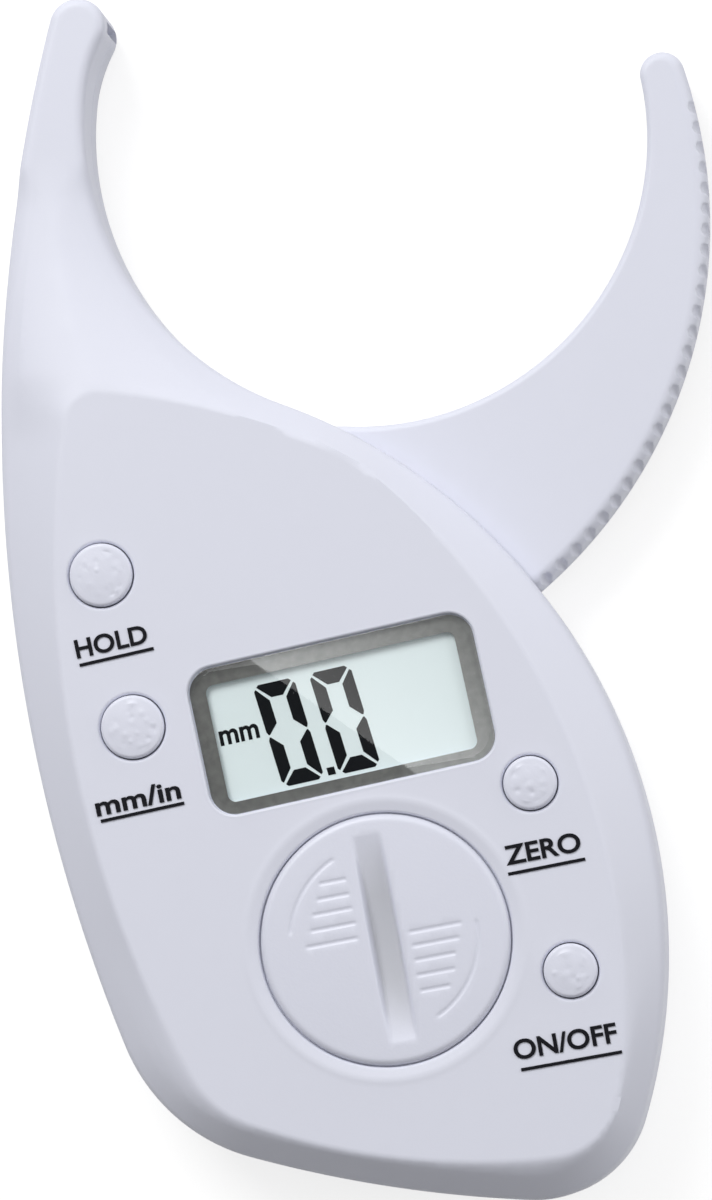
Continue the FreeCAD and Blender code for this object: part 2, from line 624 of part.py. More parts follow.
def turned_screw(label, x, y, head_bottom, head_radius, head_height, shank_radius, point):
    """A screw that points up: a head and a shank of two cylinders fused."""
    head = doc.addObject("Part::Cylinder", label + "_head")
    bind(head, "Radius", head_radius)
    bind(head, "Height", head_height)
    place(head, x, y, head_bottom)
    shank = doc.addObject("Part::Cylinder", label + "_shank")
    bind(shank, "Radius", shank_radius)
    bind(shank, "Height", point - head_bottom)
    place(shank, x, y, head_bottom)
    screw = doc.addObject("Part::Fuse", label)
    screw.Base = head
    screw.Tool = shank
    return screw


def group(label, members):
    """Identical pieces that share one node, each its own solid."""
    compound = doc.addObject("Part::Compound", label)
    compound.Label = label
    compound.Links = members
    parts.append(compound)
    return compound


def cylinder(label, radius, height, x=0.0, y=0.0, z=0.0):
    """A plain round bar."""
    bar = doc.addObject("Part::Cylinder", label)
    bar.Label = label
    bind(bar, "Radius", radius)
    bind(bar, "Height", height)
    place(bar, x, y, z)
    return bar


def ring(label, outer, inner, height, x=0.0, y=0.0, z=0.0):
    """A flat ring as its own node."""
    body = new_body(label)
    sketch = new_sketch(body, "ring")
    add_circle(sketch, 0.0, 0.0, outer)
    add_circle(sketch, 0.0, 0.0, inner)
    pad(body, sketch, height)
    place(body, x, y, z)
    return body


# ---------------------------------------------------------------------------------------------------------
# Swinging jaw and its pivot
# ---------------------------------------------------------------------------------------------------------
def make_moving_jaw():
    """Crescent jaw on a round hub: knurled thumb edge in front, cored and ribbed behind."""
    body = new_body("moving_jaw")
    plan = new_sketch(body, "plan", s.jaw_bottom)
    add_outline(plan, JAW)
    blank = pad(body, plan, s.jaw_top - s.jaw_bottom)
    rounded = round_edges(body, blank, s.jaw_edge_fillet, at_height(s.jaw_top))

    centres, signed = solve_outline(JAW)
    outer_centre, outer_radius = centres[3], signed[3]
    angle = math.radians(float(s.knurl_first_angle))
    cone = body.newObject("PartDesign::SubtractiveCone", "knurl_groove")
    bind(cone, "Radius1", s.knurl_low_radius)
    bind(cone, "Radius2", s.knurl_high_radius)
    bind(cone, "Height", s.jaw_top - s.knurl_bottom)
    spot = outer_centre + Vector(math.cos(angle), math.sin(angle), 0) * outer_radius
    cone.Placement = Placement(spot + Vector(0, 0, float(s.knurl_bottom)), Rotation())
    doc.recompute()
    arc_axis = new_sketch(body, "knurl_axis")
    arc_axis.AttachmentOffset = Placement(outer_centre, Rotation())
    add_circle(arc_axis, 0.0, 0.0, s.hub_radius)
    doc.recompute()
    knurl = body.newObject("PartDesign::PolarPattern", "knurl")
    knurl.Originals = [cone]
    knurl.Axis = (arc_axis, ["N_Axis"])
    knurl.Reversed = True
    bind(knurl, "Angle", s.knurl_pitch_angle * (s.knurl_count - 1))
    knurl.Occurrences = int(s.knurl_count)
    body.Tip = knurl
    doc.recompute()

    core_height = core_ceiling - s.jaw_bottom
    core = new_sketch(body, "core", s.jaw_bottom)
    add_outline(core, JAW, s.jaw_wall)
    pocket(body, core, core_height)
    hub = new_sketch(body, "hub", hub_bottom)
    add_circle(hub, 0.0, 0.0, s.hub_boss_radius)
    pad(body, hub, core_ceiling - hub_bottom)
    wall = new_sketch(body, "hub_wall", s.jaw_bottom)
    add_circle(wall, 0.0, 0.0, s.hub_radius - s.jaw_wall / 2)
    add_circle(wall, 0.0, 0.0, s.hub_radius - s.jaw_wall)
    pad(body, wall, core_height)
    ribs = new_sketch(body, "ribs", s.jaw_bottom)
    for corners in rib_corners(centres, signed):
        add_polygon(ribs, corners)
    pad(body, ribs, core_height)
    catch = new_sketch(body, "spring_catch", hub_bottom)
    add_rectangle(catch, s.spring_leg - s.catch_width / 2,
                  -s.spring_radius - s.spring_wire - s.running_gap * 2 - s.catch_depth / 2,
                  s.catch_width, s.catch_depth)
    pad(body, catch, core_ceiling - hub_bottom)
    bore = new_sketch(body, "bore", hub_bottom)
    add_circle(bore, 0.0, 0.0, s.bush_radius)
    pocket(body, bore, s.jaw_top - hub_bottom)
    recess = new_sketch(body, "clip_recess", s.jaw_top - s.clip_recess)
    add_circle(recess, 0.0, 0.0, s.clip_recess_radius)
    pocket(body, recess, s.clip_recess)
    return body


def rib_corners(centres, signed):
    """Ribs across the cored jaw, square to its inner arc, each ending halfway into the two long walls."""
    inner_centre, inner_radius = centres[1], abs(signed[1])
    outer_centre, outer_radius = centres[3], signed[3]
    half_wall = float(s.jaw_wall) / 2
    count = int(s.jaw_rib_count)
    tip_angle = math.atan2(centres[0].y - inner_centre.y, centres[0].x - inner_centre.x)
    hub_angle = math.atan2(-inner_centre.y, -inner_centre.x)
    for k in range(count):
        share = s.rib_first_share + (s.rib_last_share - s.rib_first_share) * k / max(count - 1, 1)
        angle = hub_angle + (tip_angle - hub_angle) * float(share)
        outward = Vector(math.cos(angle), math.sin(angle), 0)
        offset = inner_centre - outer_centre
        along = offset.dot(outward)
        far = -along + math.sqrt(along ** 2 - offset.dot(offset) + (outer_radius - half_wall) ** 2)
        near = inner_radius + half_wall
        across = Vector(-outward.y, outward.x, 0) * (float(s.jaw_rib) / 2)
        ends = [inner_centre + outward * near, inner_centre + outward * far]
        points = [ends[0] - across, ends[1] - across, ends[1] + across, ends[0] + across]
        yield [(point.x, point.y) for point in points]


def make_pivot():
    """Pressed steel axle, thrust washer, bush in the hub, retaining clip, spring and the sensor's rotor."""
    axle = new_body("pivot_axle")
    profile = new_sketch(axle, "profile", plane="XZ_Plane")
    groove_top = bush_top + s.running_gap + s.clip_thickness
    neck = s.axle_radius - s.clip_groove
    add_polygon(profile, [
        (0.0, s.axle_root), (s.axle_radius, s.axle_root), (s.axle_radius, bush_top + s.running_gap),
        (neck, bush_top + s.running_gap), (neck, groove_top), (s.axle_radius, groove_top),
        (s.axle_radius, s.axle_top), (0.0, s.axle_top)])
    revolve(axle, profile)

    ring("thrust_washer", s.washer_radius, s.axle_radius + s.running_gap, s.washer_thickness,
         z=s.pivot_boss_top)
    ring("jaw_bush", s.bush_radius, s.axle_radius + s.running_gap, bush_top - hub_bottom, z=hub_bottom)
    clip = new_body("retaining_clip")
    plan = new_sketch(clip, "plan")
    add_circle(plan, 0.0, 0.0, s.clip_radius)
    add_circle(plan, 0.0, 0.0, neck)
    pad(clip, plan, s.clip_thickness)
    mouth = new_sketch(clip, "mouth")
    add_rectangle(mouth, (s.clip_radius + s.axle_radius) / 2, ZERO, s.clip_radius, s.clip_mouth)
    pocket(clip, mouth, s.clip_thickness)
    place(clip, z=bush_top + s.running_gap)
    ring("sensor_rotor", s.rotor_radius, s.rotor_bore_radius, s.rotor_thickness, z=s.jaw_top)
    make_return_spring()


def make_return_spring():
    """Torsion spring round the pivot boss: a helix with one straight leg at each end."""
    radius, wire = float(s.spring_radius), float(s.spring_wire)
    turns = float(s.spring_turn_count)
    pitch = float(s.spring_pitch)
    start = Vector(radius, 0, float(s.rear_floor + s.spring_lift) + wire)
    helix = Part.makeHelix(pitch, pitch * turns, radius)
    helix.translate(Vector(0, 0, start.z))
    slope = pitch / (2 * math.pi)
    end_angle = 2 * math.pi * turns
    finish = Vector(radius * math.cos(end_angle), radius * math.sin(end_angle), start.z + pitch * turns)
    back = Vector(0, -radius, -slope).normalize() * float(s.spring_leg)
    ahead = Vector(-radius * math.sin(end_angle), radius * math.cos(end_angle), slope)
    ahead = ahead.normalize() * float(s.spring_leg)
    legs = [Part.makeLine(start + back, start), Part.makeLine(finish, finish + ahead)]
    path = Part.Wire([legs[0]] + helix.Edges + [legs[1]])
    section = Part.Wire(Part.makeCircle(wire, start + back, back))
    spring = doc.addObject("Part::Feature", "return_spring")
    spring.Label = "return_spring"
    spring.Shape = path.makePipeShell([section], True, True)
    place(spring)
    parts.append(spring)


# ---------------------------------------------------------------------------------------------------------
# Display
# ---------------------------------------------------------------------------------------------------------
def window_body(label, level):
    """A body whose frame is the middle of the display window."""
    body = new_body(label)
    place(body, s.window_x, s.window_y, level, s.window_tilt_angle)
    return body


def make_display():
    """Lens, glass panel, its frame and the two conductive strips down to the board."""
    lens = window_body("display_lens", s.front_height - s.lens_thickness)
    plan = new_sketch(lens, "plan")
    add_rounded_rectangle(plan, s.lens_width, s.lens_height, s.lens_corner)
    pad(lens, plan, s.lens_thickness)

    panel_bottom = ceiling - s.panel_drop - s.panel_thickness
    panel = window_body("lcd_panel", panel_bottom)
    glass = new_sketch(panel, "glass")
    add_rectangle(glass, ZERO, ZERO, s.panel_width, s.panel_height)
    pad(panel, glass, s.panel_thickness)

    frame = window_body("lcd_frame", board_top)
    outside = new_sketch(frame, "outside")
    add_rectangle(outside, ZERO, ZERO, s.panel_width + (s.frame_wall + s.fit_gap) * 2,
                  s.panel_height + (s.frame_wall + s.fit_gap) * 2)
    add_rectangle(outside, ZERO, ZERO, s.panel_width + s.fit_gap * 2, s.panel_height + s.fit_gap * 2)
    pad(frame, outside, ceiling - s.panel_drop - board_top)

    strips = []
    for k, side in enumerate((LEFT, RIGHT)):
        strip = doc.addObject("Part::Box", "zebra_strip_%d" % k)
        bind(strip, "Length", s.zebra_length)
        bind(strip, "Width", s.zebra_width)
        bind(strip, "Height", panel_bottom - board_top)
        y = (s.panel_height / 2 - s.zebra_edge - s.zebra_width / 2) * side - s.zebra_width / 2
        place(strip, -s.zebra_length / 2, y, 0.0)
        strips.append(strip)
    zebra = group("zebra_strips", strips)
    place(zebra, s.window_x, s.window_y, board_top, s.window_tilt_angle)


# ---------------------------------------------------------------------------------------------------------
# Push buttons
# ---------------------------------------------------------------------------------------------------------
def make_buttons():
    """Each button: a domed cap on a flange and stem, over the plunger of its switch."""
    plunger_bottom = board_top + s.switch_height / 2
    plunger_top = board_top + s.switch_height + s.plunger_rise
    housings = []
    for name in BUTTONS:
        x, y, radius = button_sizes(name)
        button = new_body(name + "_button")
        profile = new_sketch(button, "profile", plane="XZ_Plane")
        add_button_profile(profile, radius, plunger_top)
        revolve(button, profile)
        place(button, x, y)
        plunger = cylinder(name + "_plunger", s.plunger_radius, plunger_top - plunger_bottom, x, y,
                           plunger_bottom)
        parts.append(plunger)

        block = doc.addObject("Part::Box", name + "_switch_block")
        bind(block, "Length", s.switch_side)
        bind(block, "Width", s.switch_side)
        bind(block, "Height", s.switch_height)
        place(block, x - s.switch_side / 2, y - s.switch_side / 2, board_top)
        well = cylinder(name + "_switch_well", s.plunger_radius + s.running_gap, s.switch_height, x, y,
                        plunger_bottom - s.button_travel - s.fit_gap)
        housing = doc.addObject("Part::Cut", name + "_switch_housing")
        housing.Base = block
        housing.Tool = well
        housings.append(housing)
    group("switch_housings", housings)


def add_button_profile(sketch, radius, stem_bottom):
    """Half section of a button: stem, flange, cap wall and a domed top drawn as one arc."""
    rim = s.front_height + s.button_proud
    flange = radius + s.flange_extra
    flange_bottom = ceiling - s.flange_thickness
    corners = [(0.0, rim + s.button_dome), (0.0, stem_bottom), (s.stem_radius, stem_bottom),
               (s.stem_radius, flange_bottom), (flange, flange_bottom), (flange, ceiling), (radius, ceiling),
               (radius, rim)]
    points = [Vector(float(x), float(y), 0) for x, y in corners]
    for start, end in zip(points, points[1:]):
        sketch.addGeometry(Part.LineSegment(start, end))
    last = len(points) - 2
    rise, half = float(s.button_dome), float(radius)
    dome_radius = (half ** 2 + rise ** 2) / (2 * rise)
    centre = Vector(0, points[0].y - dome_radius, 0)
    edge_angle = math.atan2(points[-1].y - centre.y, points[-1].x)
    dome = sketch.addGeometry(Part.ArcOfCircle(Part.Circle(centre, Vector(0, 0, 1), dome_radius), edge_angle,
                                               math.pi / 2))
    for k in range(last):
        sketch.addConstraint(Sketcher.Constraint("Coincident", k, 2, k + 1, 1))
    sketch.addConstraint(Sketcher.Constraint("Coincident", last, 2, dome, 1))
    sketch.addConstraint(Sketcher.Constraint("Coincident", dome, 2, 0, 1))
    sketch.addConstraint(Sketcher.Constraint("PointOnObject", dome, 3, -2))
    for k, (x, y) in enumerate(corners[:-1]):
        locate(sketch, k, 1, x, y)
    locate(sketch, last, 2, *corners[-1])


# ---------------------------------------------------------------------------------------------------------
# Battery
# ---------------------------------------------------------------------------------------------------------
def make_battery():
    """Coin cell in its holder, two contacts, and the cap that turns a part turn to lock."""
    cap = new_body("battery_cap")
    lug_top = ledge_bottom - s.fit_gap
    profile = new_sketch(cap, "profile", plane="XZ_Plane")
    inside = s.plug_radius - s.plug_wall
    add_polygon(profile, [
        (0.0, cap_seat), (inside, cap_seat), (inside, lug_top - s.lug_thickness),
        (s.plug_radius, lug_top - s.lug_thickness), (s.plug_radius, cap_seat), (s.cap_radius, cap_seat),
        (s.cap_radius, s.front_height - s.cap_edge),
        (s.cap_radius - s.cap_edge, s.front_height), (0.0, s.front_height)])
    revolve(cap, profile)
    lugs = new_sketch(cap, "lugs", lug_top - s.lug_thickness)
    for side in (LEFT, RIGHT):
        add_sector(lugs, s.plug_radius - s.plug_wall / 2, s.plug_radius + s.lug_reach, s.lug_half_angle, side)
    pad(cap, lugs, s.lug_thickness)
    slot = new_sketch(cap, "coin_slot", plane="XZ_Plane", level=-s.slot_length / 2)
    add_polygon(slot, [(-s.slot_floor_width / 2, s.front_height - s.slot_depth),
                       (s.slot_floor_width / 2, s.front_height - s.slot_depth),
                       (s.slot_width / 2, s.front_height), (-s.slot_width / 2, s.front_height)])
    pocket(cap, slot, s.slot_length)
    place(cap, s.cap_x, s.cap_y, turn=s.slot_tilt_angle)

    cell_bottom = board_top + s.cell_lift
    cell = cylinder("coin_cell", s.cell_radius, s.cell_thickness, s.cap_x, s.cap_y, cell_bottom)
    parts.append(cell)
    bore = s.cell_radius + s.cell_gap
    holder = ring("battery_holder", bore + s.holder_wall, bore, s.cell_thickness, s.cap_x, s.cap_y, board_top)
    gate = new_sketch(holder, "contact_gate")
    add_rectangle(gate, bore + s.holder_wall / 2, ZERO, s.holder_wall * 2,
                  s.contact_width + s.gate_gap * 2)
    pocket(holder, gate, s.cell_thickness)
    blade = new_body("positive_contact")
    near = s.cell_radius + s.running_gap
    far = bore + s.holder_wall * 2
    thickness = s.contact_thickness
    angle = new_sketch(blade, "angle", plane="XZ_Plane", level=-s.contact_width / 2)
    add_polygon(angle, [(near, ZERO), (far, ZERO), (far, thickness), (near + thickness, thickness),
                        (near + thickness, s.cell_thickness), (near, s.cell_thickness)])
    pad(blade, angle, s.contact_width)
    place(blade, s.cap_x, s.cap_y, board_top)
    negative = new_body("negative_contact")
    strip = new_sketch(negative, "strip")
    add_rectangle(strip, ZERO, ZERO, s.contact_length, s.contact_width)
    pad(negative, strip, s.cell_lift)
    place(negative, s.cap_x, s.cap_y, board_top)


def add_sector(sketch, inner, outer, half_angle, side):
    """A curved pad between two radii, symmetrical about the X axis, on the right or the left of the centre."""
    middle = 0.0 if side == LEFT else math.pi
    spread = math.radians(float(half_angle))
    first = sketch.GeometryCount
    for radius in (inner, outer):
        circle = Part.Circle(Vector(0, 0, 0), Vector(0, 0, 1), float(radius))
        sketch.addGeometry(Part.ArcOfCircle(circle, middle - spread, middle + spread))
    for sign in (-1, 1):
        angle = middle + sign * spread
        direction = Vector(math.cos(angle), math.sin(angle), 0)
        sketch.addGeometry(Part.LineSegment(direction * float(inner), direction * float(outer)))
    for line, point in ((first + 2, 1), (first + 3, 2)):
        sketch.addConstraint(Sketcher.Constraint("Coincident", first, point, line, 1))
        sketch.addConstraint(Sketcher.Constraint("Coincident", first + 1, point, line, 2))
    for arc, radius in ((first, inner), (first + 1, outer)):
        sketch.addConstraint(Sketcher.Constraint("Coincident", arc, 3, -1, 1))
        dimension(sketch, "Radius", radius, arc)
    for line in (first + 2, first + 3):
        sketch.addConstraint(Sketcher.Constraint("PointOnObject", -1, 1, line))
    sketch.addConstraint(Sketcher.Constraint("Symmetric", first, 1, first, 2, -1))
    chord = inner * sine(half_angle) * 2
    dimension(sketch, "DistanceY", chord * side, first, 1, first, 2)


# ---------------------------------------------------------------------------------------------------------
# Circuit board
# ---------------------------------------------------------------------------------------------------------
def make_board():
    """One board across the housing, hung from the front cover, with the parts on its rear face."""
    board = new_body("circuit_board")
    plan = new_sketch(board, "plan", s.board_bottom)
    add_outline(plan, CREST, s.board_inset)
    pad(board, plan, s.board_thickness)
    ring_of_holes(board, "boss_room", CASE_SCREWS[1:], s.case_boss_radius + s.boss_clearance, s.board_bottom,
                  s.board_thickness)
    ring_of_holes(board, "screw_holes", BOARD_SCREWS, s.board_screw_radius + s.fit_gap, s.board_bottom,
                  s.board_thickness)
    screws = []
    for k, (x, y) in enumerate(BOARD_SCREWS):
        screws.append(turned_screw("board_screw_%d" % k, x, y, s.board_bottom - s.board_head_height,
                                   s.board_head_radius, s.board_head_height, s.board_screw_radius,
                                   board_top + s.board_screw_reach))
    group("board_screws", screws)

    parts.append(board_block("controller_chip", s.chip_x, s.chip_y, s.chip_side, s.chip_side, s.chip_height))
    parts.append(board_block("crystal", s.crystal_x, s.crystal_y, s.crystal_length, s.crystal_width,
                             s.crystal_height))
    blocks = []
    for k, (x, y) in enumerate(CAPACITORS):
        blocks.append(board_block("capacitor_%d" % k, x, y, s.capacitor_length, s.capacitor_width,
                                  s.capacitor_width))
    group("capacitors", blocks)


def board_block(label, x, y, length, width, height):
    """A block-shaped component soldered to the rear face of the board."""
    block = doc.addObject("Part::Box", label)
    block.Label = label
    bind(block, "Length", length)
    bind(block, "Width", width)
    bind(block, "Height", height)
    place(block, x - length / 2, y - width / 2, s.board_bottom - height)
    return block


def main():
    """Build every sub-part, check it and write its STEP file."""
    make_front_cover()
    make_rear_cover()
    make_case_screws()
    make_moving_jaw()
    make_pivot()
    make_display()
    make_buttons()
    make_battery()
    make_board()
    doc.recompute()
    for item in doc.Objects:
        if "Invalid" in item.State or "Error" in item.State:
            raise RuntimeError("%s failed: %s" % (item.Label, item.State))
    os.makedirs("parts", exist_ok=True)
    for part in parts:
        shape = part.Shape
        if shape.isNull() or not shape.isValid():
            raise RuntimeError("%s has no valid shape" % part.Label)
        shape.exportStep("parts/%s.step" % part.Label)
        box = shape.BoundBox
        print("%-18s %d solids, %9.1f mm3, z %.2f to %.2f" % (part.Label, len(shape.Solids), shape.Volume,
                                                               box.ZMin, box.ZMax))


main()
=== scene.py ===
"""Digital skinfold caliper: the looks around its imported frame.

Shapes are worked out in millimetres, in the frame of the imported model, and written in metres. The caliper
lies on its back: +Z is the front face and +Y points to the jaw tips.
"""
import math

import bmesh
import bpy
import numpy as np
from bpy.props import FloatProperty, FloatVectorProperty, IntProperty, PointerProperty, StringProperty
from mathutils import Matrix, Vector
from mathutils.geometry import delaunay_2d_cdt


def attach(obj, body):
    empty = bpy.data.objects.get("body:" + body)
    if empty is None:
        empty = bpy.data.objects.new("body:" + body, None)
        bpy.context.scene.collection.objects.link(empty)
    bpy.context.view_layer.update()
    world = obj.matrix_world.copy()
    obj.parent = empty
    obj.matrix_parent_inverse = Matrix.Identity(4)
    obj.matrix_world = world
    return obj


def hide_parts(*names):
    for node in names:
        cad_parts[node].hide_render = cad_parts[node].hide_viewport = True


bl_info = {
    "name": "Skinfold Caliper",
    "version": (1, 0, 0),
    "blender": (4, 5, 0),
    "location": "3D View > Sidebar > Caliper",
    "description": "Builds a digital skinfold caliper from parametric surfaces around its packed frame",
    "category": "Add Mesh",
}

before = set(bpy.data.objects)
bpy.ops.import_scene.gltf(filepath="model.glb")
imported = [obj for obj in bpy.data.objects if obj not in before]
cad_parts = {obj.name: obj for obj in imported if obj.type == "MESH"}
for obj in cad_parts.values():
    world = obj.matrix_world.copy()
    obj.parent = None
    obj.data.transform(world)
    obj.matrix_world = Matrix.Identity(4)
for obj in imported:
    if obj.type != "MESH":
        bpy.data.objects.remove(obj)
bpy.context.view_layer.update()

MM = 0.001
CONVEX, CONCAVE = 1, -1
LEFT, RIGHT = 1, -1

# Heights above the back, in millimetres: inside of the back, parting line, inside of the front round the
# raised face, rim, inside of the raised face, level front, and top of the circuit board.
FLOOR_TOP, PARTING, ROOF, SHOULDER, CEILING, FRONT = 2.0, 6.2, 11.6, 13.4, 16.2, 18.0
BOARD_TOP = 11.8
# Wall thickness, inset at which the wall has turned over into the top, and fall of the rim beside the crest.
WALL, TURNOVER, RIM_DROP = 1.8, 3.0, 0.5
# Lower and upper face of the jaw, the room it keeps in the shells' slot, and its swing in degrees.
JAW_BOTTOM, JAW_TOP, JAW_GAP, JAW_SWING = 2.5, 10.0, 0.35, 55.4
# Places on the plan, radii in millimetres and tilts in degrees. A button has x, y and radius, and the cap and
# its well have this many points round them.
WINDOW_CENTRE, WINDOW_TILT = (1.1, -21.2), 12.3
CAP_CENTRE, CAP_RADIUS, CAP_TILT, CAP_COLUMNS = (6.8, -50.1), 16.1, 10.5, 144
BUTTONS = {"hold": (-30.1, -3.0, 4.1), "unit": (-25.9, -22.7, 4.1), "zero": (25.4, -30.2, 3.45),
           "power": (30.5, -54.1, 3.45)}
# Room round a button, and the width and fall of the soft lead into its hole.
BUTTON_CLEARANCE, LEAD_WIDTH, LEAD_FALL = 0.15, 0.9, 0.06
CASE_SCREWS = [(-35.0, 34.0), (-27.5, -40.5), (34.2, -42.0), (21.0, -74.0)]
STANDOFFS = [(-22.0, 10.0), (23.5, -13.5), (-19.5, -38.5), (26.5, -64.5)]


# ---------------------------------------------------------------------------------------------------------
# Sizes and colours that a user changes
# ---------------------------------------------------------------------------------------------------------
class ShellSettings(bpy.types.PropertyGroup):
    """Finish and edges of the two shells and the jaw."""
    rim_round: FloatProperty(
        name="Rim Rounding", description="Radius at which the front shell's wall turns over into the face",
        default=0.0026, min=0.001, max=0.003, precision=4, unit="LENGTH")
    back_round: FloatProperty(
        name="Back Rounding", description="Radius between the back and the wall of the rear shell",
        default=0.0024, min=0.001, max=0.003, precision=4, unit="LENGTH")
    colour: FloatVectorProperty(
        name="Plastic", description="Colour of the shells and the jaw",
        default=(0.77, 0.785, 0.885), min=0.0, max=1.0, size=3, subtype="COLOR")
    roughness: FloatProperty(
        name="Roughness", description="Roughness of the shells' plastic",
        default=0.5, min=0.0, max=1.0, subtype="FACTOR")


class JawSettings(bpy.types.PropertyGroup):
    """Notches of the swinging jaw's thumb edge."""
    notch_count: IntProperty(name="Notches", description="Number of notches along the thumb edge",
                             default=27, min=0, max=28)
    notch_pitch: FloatProperty(
        name="Notch Pitch", description="Angle from notch to notch about the thumb edge's centre",
        default=math.radians(2.45), min=0.02, max=0.1, precision=3, unit="ROTATION")
    first_notch: FloatProperty(
        name="First Notch", description="Angle of the first notch about the thumb edge's centre",
        default=math.radians(13.1), min=0.0, max=0.4, precision=3, unit="ROTATION")
    notch_low_radius: FloatProperty(
        name="Notch Foot Radius", description="Radius of a notch at its lower end",
        default=0.0003, min=0.0001, max=0.0008, precision=5, unit="LENGTH")
    notch_top_radius: FloatProperty(
        name="Notch Top Radius", description="Radius of a notch at the jaw's upper face",
        default=0.00096, min=0.0005, max=0.0013, precision=5, unit="LENGTH")


class ControlSettings(bpy.types.PropertyGroup):
    """Battery cap and push buttons."""
    slot_length: FloatProperty(name="Slot Length", description="Length of the cap's coin slot",
                               default=0.027, min=0.02, max=0.029, precision=4, unit="LENGTH")
    slot_width: FloatProperty(name="Slot Width", description="Width of the cap's coin slot",
                              default=0.0043, min=0.002, max=0.0048, precision=4, unit="LENGTH")
    slot_depth: FloatProperty(name="Slot Depth", description="Depth of the coin slot at its middle",
                              default=0.0018, min=0.0005, max=0.0019, precision=4, unit="LENGTH")
    groove_depth: FloatProperty(name="Groove Depth", description="Depth of the cap's finger grooves",
                                default=0.00012, min=0.00005, max=0.0005, precision=5, unit="LENGTH")
    groove_width: FloatProperty(name="Groove Width", description="Width of the cap's finger grooves",
                                default=0.00085, min=0.0003, max=0.001, precision=5, unit="LENGTH")
    crown: FloatProperty(name="Crown", description="Rise of the cap's middle over its edge",
                         default=0.00035, min=0.0, max=0.0006, precision=5, unit="LENGTH")
    pebble_height: FloatProperty(name="Pebble Height", description="Height of the push buttons' pebbles",
                                 default=0.00008, min=0.0, max=0.0001, precision=6, unit="LENGTH")
    colour: FloatVectorProperty(name="Plastic", description="Colour of the cap and the push buttons",
                                default=(0.765, 0.78, 0.885), min=0.0, max=1.0, size=3, subtype="COLOR")
    # Painted shade: a darker colour that the cap and the buttons take deeper under the front face, in the
    # coin slot, the grooves and round the buttons.
    dirt: FloatVectorProperty(name="Painted_Shade", description="Colour deep in the coin slot and round the buttons",
                              default=(0.6, 0.61, 0.66), min=0.0, max=1.0, size=3, subtype="COLOR")
    roughness: FloatProperty(name="Roughness", description="Roughness of the cap and the push buttons",
                             default=0.38, min=0.0, max=1.0, subtype="FACTOR")


class DisplaySettings(bpy.types.PropertyGroup):
    """Window and reading."""
    view_width: FloatProperty(name="View Width", description="Width of the clear part of the window",
                              default=0.0329, min=0.02, max=0.035, precision=4, unit="LENGTH")
    view_height: FloatProperty(name="View Height", description="Height of the clear part of the window",
                               default=0.0154, min=0.01, max=0.0165, precision=4, unit="LENGTH")
    digit_width: FloatProperty(name="Digit Width", description="Width of a digit",
                               default=0.00548, min=0.003, max=0.007, precision=4, unit="LENGTH")
    digit_height: FloatProperty(name="Digit Height", description="Height of a digit",
                                default=0.0136, min=0.006, max=0.0145, precision=4, unit="LENGTH")
    digit_lean: FloatProperty(name="Digit Lean", description="Lean of the digits from upright",
                              default=math.radians(5.0), min=0.0, max=0.3, precision=3, unit="ROTATION")
    unit_word: StringProperty(name="Unit", description="Unit shown beside the reading", default="mm")
    ground: FloatVectorProperty(name="Ground", description="Colour of the display behind the digits",
                                default=(0.85, 0.935, 0.945), min=0.0, max=1.0, size=3, subtype="COLOR")
    border: FloatVectorProperty(name="Border", description="Colour printed round the clear part",
                                default=(0.15, 0.15, 0.143), min=0.0, max=1.0, size=3, subtype="COLOR")


class LetteringSettings(bpy.types.PropertyGroup):
    """Words printed beside the push buttons."""
    hold_word: StringProperty(name="Hold", description="Word at the hold button", default="HOLD")
    unit_word: StringProperty(name="Unit", description="Word at the unit button", default="mm/in")
    zero_word: StringProperty(name="Zero", description="Word at the zero button", default="ZERO")
    power_word: StringProperty(name="Power", description="Word at the power button", default="ON/OFF")
    rule_width: FloatProperty(name="Rule Width", description="Width of the rule under each word",
                              default=0.00042, min=0.0002, max=0.001, precision=5, unit="LENGTH")
    ink: FloatVectorProperty(name="Ink", description="Colour of the words and their rules",
                             default=(0.006, 0.006, 0.010), min=0.0, max=1.0, size=3, subtype="COLOR")


class InsideSettings(bpy.types.PropertyGroup):
    """Colours of the parts inside and of the bare metal."""
    moulding: FloatVectorProperty(name="Inner Plastic", description="Colour of the frames, bush and plungers",
                                  default=(0.72, 0.72, 0.69), min=0.0, max=1.0, size=3, subtype="COLOR")
    chip: FloatVectorProperty(name="Chip", description="Colour of the chips and switch housings",
                              default=(0.03, 0.03, 0.032), min=0.0, max=1.0, size=3, subtype="COLOR")
    rubber: FloatVectorProperty(name="Strip Rubber", description="Colour of the display's contact strips",
                                default=(0.12, 0.12, 0.12), min=0.0, max=1.0, size=3, subtype="COLOR")
    board: FloatVectorProperty(name="Solder Mask", description="Colour of the circuit board",
                               default=(0.012, 0.085, 0.035), min=0.0, max=1.0, size=3, subtype="COLOR")
    copper: FloatVectorProperty(name="Copper", description="Colour of the sensor disc's fingers",
                                default=(0.62, 0.345, 0.20), min=0.0, max=1.0, size=3, subtype="COLOR")
    steel: FloatVectorProperty(name="Steel", description="Colour of the screws, springs and contacts",
                               default=(0.56, 0.56, 0.55), min=0.0, max=1.0, size=3, subtype="COLOR")


class StageSettings(bpy.types.PropertyGroup):
    """Light, floor and camera."""
    surround: FloatProperty(name="Surround", description="Strength of the soft white surround",
                            default=0.5, min=0.0, max=2.0)
    key_power: FloatProperty(name="Key Power", description="Power of the lamp at the upper left",
                             default=4.75, min=0.0, max=20.0, unit="POWER")
    fill_power: FloatProperty(name="Fill Power", description="Power of the lamp at the right",
                              default=1.4, min=0.0, max=20.0, unit="POWER")
    floor: FloatVectorProperty(name="Floor", description="Colour of the floor",
                               default=(0.4, 0.4, 0.4), min=0.0, max=1.0, size=3, subtype="COLOR")
    camera_distance: FloatProperty(name="Camera Distance", description="Distance of the camera",
                                   default=0.7, min=0.3, max=2.0, unit="LENGTH")


